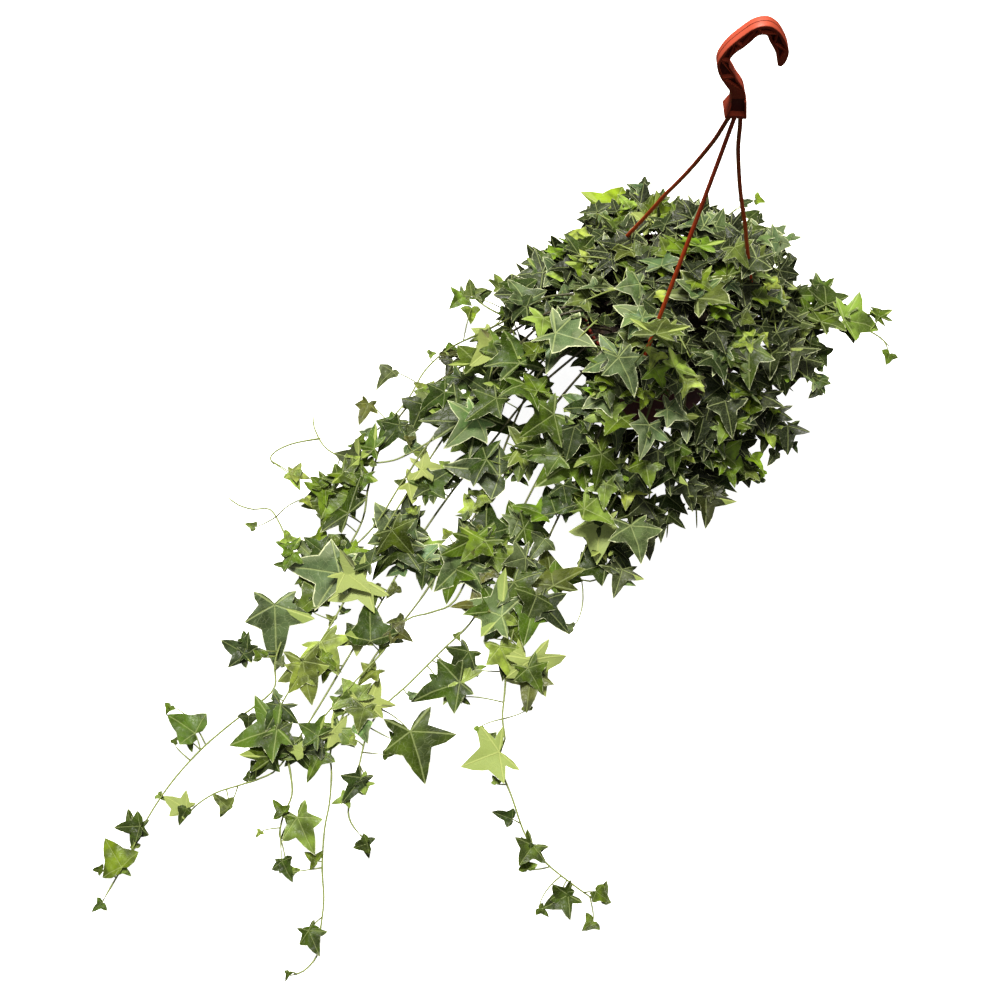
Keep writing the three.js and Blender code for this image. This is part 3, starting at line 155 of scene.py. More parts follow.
foliage = {
    "cream": "#dee2b6", "frost": "#84916a", "vein": "#afbb7a", "underVein": "#b4bd70", "under": "#8f9f50",
    "patchAndShade": (0.008, 0.013, 0.001, 1), "sideVein": (0.849, -0.529), "basalVein": (0.828, 0.561),
    "veinEdge": (0.002, 0.018), "netScale": 13.0,
    "youngBark": "#76843a", "oldBark": "#261f10", "greyBark": "#3b3922", "barkSpeck": "#c9b79a",
    "mostLight": 0.47, "lightSpread": 0.38, "redSpread": 0.12, "blueSpread": 0.2, "paintedCanopyLight": 0.6,
    "paintedCrownShade": 0.92,
}


def leafInputs(base):  # the place on the leaf, its colour, and its cream, seed and contrast
    place = base.node("UVMap", {"uv_map": "leaf"}, {})
    body = base.node("Attribute", {"attribute_name": "leafColour"}, {}, 0)
    habit = base.node("Attribute", {"attribute_name": "leafHabit"}, {}, 1)
    return place, body, habit.axes()


def veins(place):  # how near a leaf's main veins a place is
    x, y, _ = place.axes()
    y = abs(y)
    side, basal = (abs(x * foliage[name][0] + y * foliage[name][1]) for name in ("sideVein", "basalVein"))
    return 1 - y.least(side).least(basal).rise(*foliage["veinEdge"])


def veinNet(base, place, width):
    values = {"Vector": place, "Scale": foliage["netScale"]}
    return 1 - base.node("TexVoronoi", {"feature": "DISTANCE_TO_EDGE"}, values).rise(0.0, width)


def paintLeaf(base):
    place, body, (cream, seed, contrast) = leafInputs(base)
    rim = base.node("Attribute", {"attribute_name": "rim"}, {}, 2)
    patches = place.cloud(2.6, 2.0, seed)
    ragged = place.cloud(9.0, 3.0, seed)
    net = veinNet(base, place, 0.07)
    vein = veins(place)
    grey = (patches + rim * 0.35 - (1.15 - cream * 0.55)).rise(0.0, 0.16) * 0.5
    edge = (rim + ragged * 0.16 - (1.085 - cream * 0.065)).rise(0.0, 0.025)
    # random patches darken the blade towards almost black: partly the leaf's own mottling, partly painted
    # shade
    shade = (patches.rise(0.3, 0.65) * 0.75).mix(body, foliage["patchAndShade"])
    shade = grey.mix(shade, tint(foliage["frost"]))
    shade = (net * contrast * 0.22).mix(shade, tint(foliage["vein"]))
    shade = (vein * contrast * 0.8).mix(shade, tint(foliage["vein"]))
    shade = (edge * 0.8).mix(shade, tint(foliage["cream"]))
    height = ragged * 0.3 + place.cloud(4.5, 1.0, seed) * 2.5 - vein - net * 0.35
    return {
        "Base Color": shade,
        "Roughness": ragged * 0.2 + 0.3,
        "Normal": bump(base, height, 0.0006, 0.7),
    }


def paintUnderside(base):
    place, body, (_, seed, _) = leafInputs(base)
    patches = place.cloud(3.0, 3.0, seed)
    net = veinNet(base, place, 0.08)
    vein = veins(place)
    pale = (patches * 0.5 + 0.4).mix(body, tint(foliage["under"]))
    shade = (vein * 0.55 + net * 0.12).mix(pale, tint(foliage["underVein"]))
    return {
        "Base Color": shade,
        "Roughness": patches * 0.1 + 0.5,
        "Normal": bump(base, vein + net * 0.3 + patches * 0.2, 0.0006, 0.6),
    }


def paintBark(base):
    place = base.node("TexCoord", {}, {}, 3)
    age = base.node("Attribute", {"attribute_name": "age"}, {}, 2)
    patches = place.cloud(45.0, 3.0)
    grain = place.cloud(900.0, 3.0)
    old = patches.rise(0.35, 0.65).mix(tint(foliage["oldBark"]), tint(foliage["greyBark"]))
    shade = (age + patches * 0.5 - 0.25).rise(0.15, 0.75).mix(tint(foliage["youngBark"]), old)
    shade = (grain.rise(0.5, 0.75) * 0.25).mix(shade, tint(foliage["barkSpeck"]))
    return {
        "Base Color": shade,
        "Roughness": grain * 0.2 + 0.4,
        "Normal": bump(base, grain, 0.0003, 0.7),
    }


leafFace = newMaterial("ivyLeafFace", paintLeaf, **{"Specular IOR Level": 0.2})
leafUnderside = newMaterial("ivyLeafUnderside", paintUnderside, **{"Specular IOR Level": 0.15})
bark = newMaterial("ivyStem", paintBark)
ivyMaterials = [bark, leafFace, leafUnderside]
print("foliage materials made")


# Plastic of the pot and its hanger

# The darkest colours here are painted shade: the floors of the hook's pockets, its front and back faces, and
# the upper straps
plastic = {
    "pot": "#5a1206", "potLight": "#6e1c0a", "hanger": "#b34c36", "hangerDark": "#9e3e28", "web": "#380d08",
    "webLight": "#4c150c", "rib": "#5e1c10", "frontShadeLighter": "#7a2a18", "strap": "#a83c18",
    "strapPaintedShade": "#702816", "dust": "#b08a78",
}


def mouldedPlastic(name, deep, light, gloss, low=None, high=None):
    def paint(base):
        place = base.node("TexCoord", {}, {}, 3)
        clouds = place.cloud(22.0, 2.0)
        grain = place.cloud(1500.0, 2.0)
        dust = place.cloud(170.0, 4.0)
        # with a low and a high height given, the colour turns from the first to the second with height, as
        # painted shade; without them clouds vary it at random
        change = place.axes()[2].rise(low, high) if low else clouds.rise(0.35, 0.7)
        shade = change.mix(tint(deep), tint(light))
        shade = (dust.rise(0.62, 0.8) * 0.08).mix(shade, tint(plastic["dust"]))
        return {
            "Base Color": shade,
            "Roughness": dust * 0.16 + gloss,
            "Normal": bump(base, grain * 0.5 + clouds, 0.0002, 0.5),
        }
    return newMaterial(name, paint, **{"Specular IOR Level": 0.3})


potPlastic = mouldedPlastic("potPlastic", plastic["pot"], plastic["potLight"], 0.42)
hangerPlastic = mouldedPlastic("hangerPlastic", plastic["hangerDark"], plastic["hanger"], 0.34)
# painted shade: the floors of the hook's pockets and panel are almost black for the shade in these recesses
webPlastic = mouldedPlastic("hangerRecessShadePlastic", plastic["web"], plastic["webLight"], 0.5)
# painted shade: the hook's front and back faces and its parting groove are darker than the flange, for the
# shade they lie in
frontShadePlastic = mouldedPlastic("hangerFrontShadePlastic", plastic["rib"], plastic["frontShadeLighter"], 0.42)
# painted shade: the straps turn darker from 0.2 m up to 0.32 m, towards the hook
strapPlastic = mouldedPlastic("hangerStrapPlastic", plastic["strap"], plastic["strapPaintedShade"], 0.36, 0.2, 0.32)


# Helpers for the pieces

def polar(radius, angle, z):
    return Vector((radius * math.cos(math.radians(angle)), radius * math.sin(math.radians(angle)), z))


def finishPiece(name, bm, materials, nodes):
    bmesh.ops.scale(bm, vec=(mm, mm, mm), verts=bm.verts)
    mesh = bpy.data.meshes.new(name)
    bm.to_mesh(mesh)
    bm.free()
    piece = bpy.data.objects.new(name, mesh)
    bpy.context.scene.collection.objects.link(piece)
    for material in materials:
        mesh.materials.append(material)
    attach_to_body(piece, "root")
    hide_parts(*nodes)


def smoothFaces(bm, angle):
    for face in bm.faces:
        face.smooth = True
    for edge in bm.edges:
        edge.smooth = len(edge.link_faces) == 2 and edge.calc_face_angle() < math.radians(angle)


def spun(points, axis, steps):  # a full turn of a line about an axis
    bm = bmesh.new()
    line = [bm.verts.new(point) for point in points]
    edges = [bm.edges.new(pair) for pair in zip(line, line[1:])]
    bmesh.ops.spin(bm, geom=line + edges, axis=axis, angle=2 * math.pi, steps=steps, use_merge=True)
    return bm


def turned(profile, steps):
    bm = spun([(radius, 0, z) for radius, z in profile], (0, 0, 1), steps)
    bmesh.ops.remove_doubles(bm, verts=bm.verts, dist=0.001)
    bmesh.ops.recalc_face_normals(bm, faces=bm.faces)
    return bm


def straightTube(rows, sides):  # one unit long on X, one unit in radius
    bm = spun([(i / rows, 0, 1) for i in range(rows + 1)], (1, 0, 0), sides)
    bmesh.ops.holes_fill(bm, edges=bm.edges, sides=sides)
    bmesh.ops.recalc_face_normals(bm, faces=bm.faces)
    for face in bm.faces:
        face.smooth = True
    mesh = bpy.data.meshes.new("straightTube")
    bm.verts.layers.float.new("age")
    bm.to_mesh(mesh)
    bm.free()
    return mesh


def crossings(places):  # a frame at each place that turns as little as it can
    side = Vector((0.3, 0.2, 1))
    frames = []
    for i, place in enumerate(places):
        heading = (places[min(i + 1, len(places) - 1)] - places[max(i - 1, 0)]).normalized()
        side = (side - heading * side.dot(heading)).normalized()
        frames.append((place, side, heading.cross(side)))
    return frames


def bendTube(bm, tube, places, sizes, ages):
    first = len(bm.verts)
    bm.from_mesh(tube)
    bm.verts.ensure_lookup_table()
    age = bm.verts.layers.float["age"]
    frames = crossings(places)
    for vert in bm.verts[first:]:
        row = round(vert.co.x * (len(places) - 1))
        place, side, other = frames[row]
        vert[age] = ages[row]
        vert.co = place + (side * vert.co.y + other * vert.co.z) * sizes[row]


# Where the ivy grows: the same rules and seeds as the solids

growth = {
    "rim": 75, "soilEdge": 99, "soilMound": 3, "holeDepth": 13, "aboveSoil": 3, "rootRadii": (60, 53),
    "trailOverRim": [(66, 114), (78, 121), (86, 112)], "skirtOverRim": [(66, 115), (79, 122), (91, 108)],
    "skirtBend": (97, 70), "stemStep": 26, "reachStep": 5, "barePlaces": 5, "fineStep": 5, "twigStep": 4,
    "crownRadius": 122, "crownTop": 150, "crownFall": 62, "crownLean": 10, "highSide": 40, "crownStems": 15,
    "goldenAngle": 137.508, "longPetiole": 26, "leastFiveLobed": 25, "youngLeaf": 17, "thickness": 0.8,
    "clearance": 0.6,
}
fill = {
    "first": 8, "reach": 330, "spacing": 22, "length": (22, 14), "skirtSpacing": 17, "skirtLength": (20, 11),
    "gap": (0.7, 0.6), "turn": (35, 50), "stalk": (9, 16), "rise": (3, 9), "heading": 60, "tilt": 18,
    "drop": 6, "roll": 24,
}
dome = {
    "leaves": 520, "evenSteps": (0.5698403, 0.7548777), "scatter": 0.06, "depth": 22, "sink": 4, "lift": 6,
    "heading": 120, "droop": 38, "lean": 32, "tilt": 20, "roll": 22, "length": (14, 13),
}
seeds = {
    "trail": 100, "crown": 2000, "more": 2400, "fill": 3000, "fillStep": 60, "end": 5000, "canopy": 6000,
}


def draw(seed, salt):
    wave = math.sin(seed * 12.9898 + salt * 78.233) * 43758.5453
    return wave - math.floor(wave)


def spread(seed, salt, width):
    return (2 * draw(seed, salt) - 1) * width


def between(seed, salt, least, more):
    return least + more * draw(seed, salt)


# Each trailing stem: rim angle, bow, points and branch, and its leaves as x, y, direction, length,
# spread of the lobes and tone
trails = {
    "ivy_trail_01": {"rim": 205, "bow": 16, "path": [
        (-118, -56, 88), (-146, -76, 56), (-170, -95, 34), (-187, -122, 25), (-195, -164, 23),
        (-191, -206, 22), (-184, -240, 20), (-190, -285, 18), (-203, -330, 17), (-204, -370, 15),
        (-195, -393, 15), (-201, -409, 14), (-214, -430, 13), (-228, -458, 12), (-238, -488, 11),
        (-243, -518, 10), (-244, -548, 9), (-247, -580, 8),
    ], "leaves": [
        (-177, -112, 89, 17, 0.6, "light"), (-169, -114, -144, 28, 0.5, "grey"),
        (-169, -114, -98, 22, 0.6, "grey"), (-186, -146, -108, 29, 0.15, "dark"),
        (-191, -143, -107, 28, 0, "mid"), (-198, -175, -175, 25, 0.95, "mid"),
        (-216, -223, -87, 32, 0.7, "bright"), (-206, -221, -45, 24, 0.3, "bright"),
        (-221, -333, -65, 50, 0.2, "grey"), (-226, -377, 172, 24, 0.3, "deep"),
        (-228, -378, 32, 18, 0.2, "deep"), (-191, -311, -116, 32, 0.45, "mid"),
        (-195, -309, 179, 17, 0.5, "mid"), (-194, -308, -70, 17, 0.9, "bright"),
        (-237, -448, 166, 31, 0.35, "mid"), (-245, -525, -158, 19, 0.3, "mid"),
        (-244, -556, 147, 30, 0.55, "bright"), (-246, -583, -116, 9, 0.65, "mid"),
    ]},
    "ivy_trail_02": {"rim": 232, "bow": 12, "path": [
        (-86, -104, 76), (-104, -140, 46), (-122, -190, 30), (-134, -245, 26), (-142, -300, 23),
        (-150, -355, 20), (-157, -402, 17), (-166, -448, 14), (-176, -462, 13), (-190, -473, 12),
        (-204, -484, 11), (-214, -498, 10), (-219, -514, 9),
    ], "branch": [
        (-163, -438, 15), (-156, -452, 14), (-149, -466, 13), (-149, -482, 12), (-147, -495, 10),
    ], "leaves": [
        (-144, -244, 148, 43, 0.25, "grey"), (-143, -228, -173, 33, 0.25, "deep"),
        (-143, -240, 85, 26, 0.2, "dark"), (-122, -258, 146, 26, 1, "frost"),
        (-145, -334, -147, 26, 0.3, "pale"), (-151, -292, -42, 13, 0, "olive"),
        (-134, -285, -112, 14, 0, "olive"), (-141, -258, -131, 23, 0.4, "grey"),
        (-173, -445, 128, 32, 0.7, "bright"), (-176, -443, -111, 25, 0.45, "dark"),
        (-189, -491, 161, 16, 0, "light"), (-190, -489, -104, 12, 0.35, "mid"),
        (-149, -481, 151, 13, 0.7, "bright"), (-160, -498, -105, 6, 0.2, "lime"),
        (-138, -480, -44, 33, 0, "light"), (-138, -484, -112, 16, 0.35, "mid"),
        (-136, -513, -41, 17, 0.2, "mid"), (-219, -502, 171, 21, 0, "pale"),
        (-218, -502, -93, 14, 0, "dark"),
    ]},
    "ivy_trail_03": {"rim": 240, "bow": 8, "path": [
        (-66, -112, 74), (-82, -158, 44), (-95, -200, 32), (-104, -240, 28), (-112, -284, 26),
        (-122, -320, 24), (-130, -345, 22), (-135, -385, 20), (-135, -422, 17), (-127, -441, 15),
        (-120, -462, 14), (-116, -481, 13), (-107, -507, 12), (-97, -528, 11), (-91, -549, 10),
        (-87, -564, 9), (-92, -577, 8), (-100, -583, 7),
    ], "leaves": [
        (-99, -203, 132, 19, 0.35, "lime"), (-85, -160, -130, 10, 0.5, "lime"),
        (-77, -146, -76, 23, 0.45, "mid"), (-76, -161, -23, 15, 0.15, "dark"),
        (-77, -137, 118, 11, 0.7, "bright"), (-83, -142, -97, 8, 0.4, "bright"),
        (-75, -152, 60, 9, 0.3, "lime"), (-137, -336, 113, 39, 0.5, "dark"),
        (-140, -427, -149, 17, 0.4, "deep"), (-140, -431, -93, 23, 0.6, "mid"),
        (-138, -412, -8, 19, 0.95, "pale"), (-139, -414, -129, 14, 0.2, "pale"),
        (-129, -383, 146, 23, 0.6, "light"), (-134, -383, -142, 16, 0.4, "light"),
        (-120, -259, -75, 25, 0.3, "dark"), (-132, -515, 169, 11, 0.85, "mid"),
        (-98, -549, -60, 15, 0.45, "bright"), (-99, -551, -42, 21, 0, "mid"),
        (-101, -581, -93, 7, 0.25, "mid"),
    ]},
    "ivy_trail_04": {"rim": 249, "bow": 4, "path": [
        (-46, -112, 78), (-56, -156, 48), (-62, -200, 34), (-64, -245, 28), (-67, -288, 25),
        (-82, -322, 22), (-97, -356, 20), (-110, -382, 18), (-113, -404, 16), (-109, -432, 14),
        (-106, -458, 12), (-100, -469, 11), (-90, -475, 9),
    ], "leaves": [
        (-61, -197, -90, 20, 0.9, "frost"), (-67, -226, -40, 33, 0.3, "light"),
        (-67, -225, -114, 19, 0.5, "dark"), (-65, -143, -82, 14, 0.8, "bright"),
        (-60, -131, 0, 28, 1, "dark"), (-119, -383, 94, 23, 1, "pale"),
        (-122, -387, -82, 21, 0.55, "light"), (-82, -391, -52, 43, 0.3, "mid"),
        (-59, -343, -142, 39, 0.2, "dark"), (-56, -341, 168, 24, 1, "light"),
        (-58, -330, 70, 10, 0.2, "light"), (-61, -317, -105, 28, 0, "dark"),
        (-64, -277, -157, 25, 0.3, "olive"), (-67, -244, -109, 20, 0.5, "olive"),
        (-100, -438, -124, 21, 0, "light"), (-104, -437, -105, 25, 0, "dark"),
        (-103, -439, -43, 9, 0.75, "deep"), (-85, -478, -56, 13, 0.55, "dark"),
    ]},
    "ivy_trail_05": {"rim": 257, "bow": 0, "path": [
        (-20, -112, 84), (-26, -155, 54), (-32, -205, 36), (-34, -255, 29), (-32, -300, 26),
        (-23, -338, 22), (-18, -357, 21), (-11, -371, 20), (-11, -382, 18), (-4, -396, 17), (9, -411, 16),
        (28, -434, 14), (48, -447, 13), (72, -455, 12), (92, -460, 10),
    ], "leaves": [
        (-15, -241, 118, 37, 0.95, "olive"), (-12, -383, -139, 33, 0.85, "pale"),
        (-12, -307, -48, 32, 0.8, "pale"), (-17, -306, -114, 26, 0.45, "pale"),
        (-9, -316, -78, 31, 0.25, "olive"), (-46, -281, 180, 38, 0.6, "frost"),
        (-47, -283, 3, 17, 0.8, "light"), (-39, -305, -45, 31, 0, "lime"),
        (-31, -310, -78, 21, 0.45, "deep"), (-25, -264, -84, 37, 0.35, "mid"),
        (-21, -259, -28, 33, 0.45, "deep"), (-16, -259, -10, 12, 0.3, "light"),
        (-30, -134, -121, 46, 0.2, "mid"), (95, -459, 88, 15, 0.55, "bright"),
        (90, -455, -15, 15, 0.15, "mid"), (95, -475, -125, 12, 0.85, "bright"),
        (14, -427, -178, 16, 0, "dark"), (71, -464, -132, 23, 0.05, "mid"),
        (66, -464, -52, 19, 0.05, "mid"), (35, -440, -106, 20, 0.55, "mid"),
        (35, -445, 34, 14, 0.25, "dark"), (33, -444, 136, 12, 0.35, "dark"),
    ]},
    "ivy_trail_06": {"rim": 222, "bow": 14, "path": [
        (-92, -88, 82), (-108, -108, 60), (-128, -130, 44), (-150, -148, 36), (-169, -171, 32),
        (-183, -183, 30), (-208, -192, 28), (-236, -189, 27), (-254, -174, 27), (-259, -164, 28),
    ], "branch": [
        (-246, -183, 27), (-258, -189, 26), (-268, -196, 25), (-276, -205, 24), (-278, -213, 24),
        (-273, -217, 23),
    ], "leaves": [
        (-124, -120, -4, 49, 0.75, "dark"), (-208, -187, -150, 13, 0.5, "light"),
        (-174, -161, 53, 11, 0.2, "olive"), (-209, -199, -15, 21, 0.7, "bright"),
        (-212, -218, 124, 22, 0.15, "mid"), (-213, -209, -19, 20, 1, "bright"),
        (-254, -223, 12, 18, 0, "lime"), (-254, -222, -41, 17, 0, "lime"),
        (-221, -227, -132, 21, 0.5, "bright"), (-225, -227, 147, 16, 0.35, "bright"),
        (-131, -146, -34, 22, 0.4, "mid"),
    ]},
    "ivy_trail_07": {"rim": 214, "bow": 10, "path": [
        (-104, -76, 80), (-126, -108, 58), (-149, -150, 52), (-162, -200, 41), (-172, -245, 29),
        (-190, -279, 27), (-214, -291, 25), (-229, -283, 25), (-243, -269, 25), (-258, -258, 26),
        (-271, -263, 26), (-284, -264, 27), (-294, -261, 28),
    ], "leaves": [
        (-135, -138, 119, 38, 1, "dark"), (-131, -115, 126, 18, 0.8, "mid"),
        (-234, -241, -29, 11, 0.3, "lime"), (-157, -200, 3, 29, 0.15, "pale"),
        (-112, -97, 57, 17, 0.4, "frost"), (-225, -287, 166, 17, 0.8, "bright"),
        (-223, -289, -93, 18, 0.35, "bright"), (-205, -287, 158, 29, 0.1, "grey"),
        (-202, -280, 163, 19, 0.7, "dark"), (-181, -277, 120, 22, 0.35, "dark"),
        (-192, -271, 128, 15, 0.3, "light"), (-180, -277, 27, 25, 0.25, "bright"),
    ]},
    "ivy_trail_08": {"rim": 197, "bow": 20, "path": [
        (-116, -36, 92), (-146, -48, 60), (-172, -60, 36), (-186, -84, 27), (-190, -112, 23),
        (-197, -136, 20), (-208, -154, 15),
    ], "leaves": [
        (-222, -130, -88, 22, 0, "olive"), (-212, -98, -113, 24, 0, "grey"),
    ]},
    "ivy_trail_09": {"rim": 228, "bow": 4, "path": [
        (-84, -92, 92), (-92, -136, 54), (-90, -188, 38), (-84, -238, 31), (-86, -280, 29),
        (-100, -296, 28), (-117, -310, 28), (-125, -340, 26), (-138, -374, 24), (-150, -408, 21),
        (-157, -432, 19),
    ], "leaves": [
        (-89, -248, -115, 37, 0.85, "frost"), (-86, -236, 133, 35, 0.35, "dark"),
        (-81, -220, 110, 35, 0.35, "dark"), (-91, -195, 129, 16, 0.75, "lime"),
        (-78, -211, -38, 11, 0.5, "bright"), (-88, -168, -167, 46, 0.25, "grey"),
        (-86, -227, -143, 27, 0.3, "olive"), (-98, -159, 132, 11, 0.2, "lime"),
        (-124, -323, -6, 20, 0.25, "olive"), (-119, -312, -147, 13, 0.1, "olive"),
        (-153, -435, -177, 15, 0.4, "pale"), (-146, -420, 167, 20, 0.5, "mid"),
    ]},
    "ivy_trail_10": {"rim": 209, "bow": 18, "path": [
        (-106, -66, 94), (-124, -94, 68), (-142, -140, 44), (-152, -190, 38), (-160, -236, 35),
        (-166, -288, 32), (-171, -330, 27), (-177, -366, 24), (-183, -402, 20), (-184, -426, 18),
    ], "leaves": [
        (-145, -225, 89, 11, 0.3, "lime"), (-151, -186, 31, 25, 0.65, "pale"),
        (-144, -200, 54, 35, 0.45, "dark"), (-180, -294, -171, 49, 0.35, "frost"),
        (-176, -292, -18, 29, 0.5, "pale"), (-173, -350, -43, 30, 0.65, "lime"),
        (-180, -370, -58, 36, 0.2, "light"), (-176, -372, -102, 27, 0, "light"),
        (-167, -363, -12, 18, 0.6, "bright"), (-178, -375, -171, 16, 0.3, "dark"),
        (-160, -278, 169, 23, 0.55, "deep"), (-183, -407, -95, 24, 0.55, "dark"),
        (-178, -425, -142, 37, 0.5, "mid"), (-178, -428, -17, 21, 0.45, "mid"),
    ]},
    "ivy_trail_11": {"rim": 277, "bow": 8, "path": [
        (12, -112, 82), (10, -150, 52), (0, -196, 34), (0, -222, 28), (12, -224, 26), (27, -208, 24),
    ], "leaves": [
        (34, -206, -88, 25, 0.7, "grey"), (19, -207, -143, 34, 0.3, "dark"),
    ]},
    "ivy_trail_12": {"rim": 355, "bow": 6, "path": [
        (99, 2, 117), (107, 20, 121), (120, 33, 124), (133, 39, 125), (145, 38, 124), (159, 34, 122),
        (173, 33, 119), (184, 29, 116),
    ], "leaves": [
        (141, 33, 12, 35, 0.45, "light"), (169, 49, 120, 18, 0.6, "bright"), (138, 37, 89, 20, 0, "light"),
        (185, 19, -94, 13, 0.9, "bright"), (123, 42, 106, 30, 0.1, "dark"),
        (112, 33, 59, 25, 0.7, "bright"), (112, 33, -146, 14, 0.5, "bright"),
        (114, 28, -93, 19, 0.6, "light"), (109, 59, 30, 15, 0.8, "dark"), (145, 30, -55, 17, 0.2, "mid"),
    ]},
}

# Shorter stems that hang over the rim: rim angle and end
skirtStems = [
    (285, (46, -176, 14)), (294, (62, -158, 16)), (304, (84, -140, 16)), (315, (100, -112, 18)),
    (327, (116, -88, 20)), (339, (128, -52, 40)), (3, (128, 6, 44)), (16, (126, 40, 30)),
    (42, (104, 84, 24)), (60, (70, 108, 22)), (84, (16, 124, 20)), (108, (-40, 116, 22)),
    (130, (-78, 88, 26)), (162, (-112, 36, 40)), (182, (-124, -8, 34)),
]

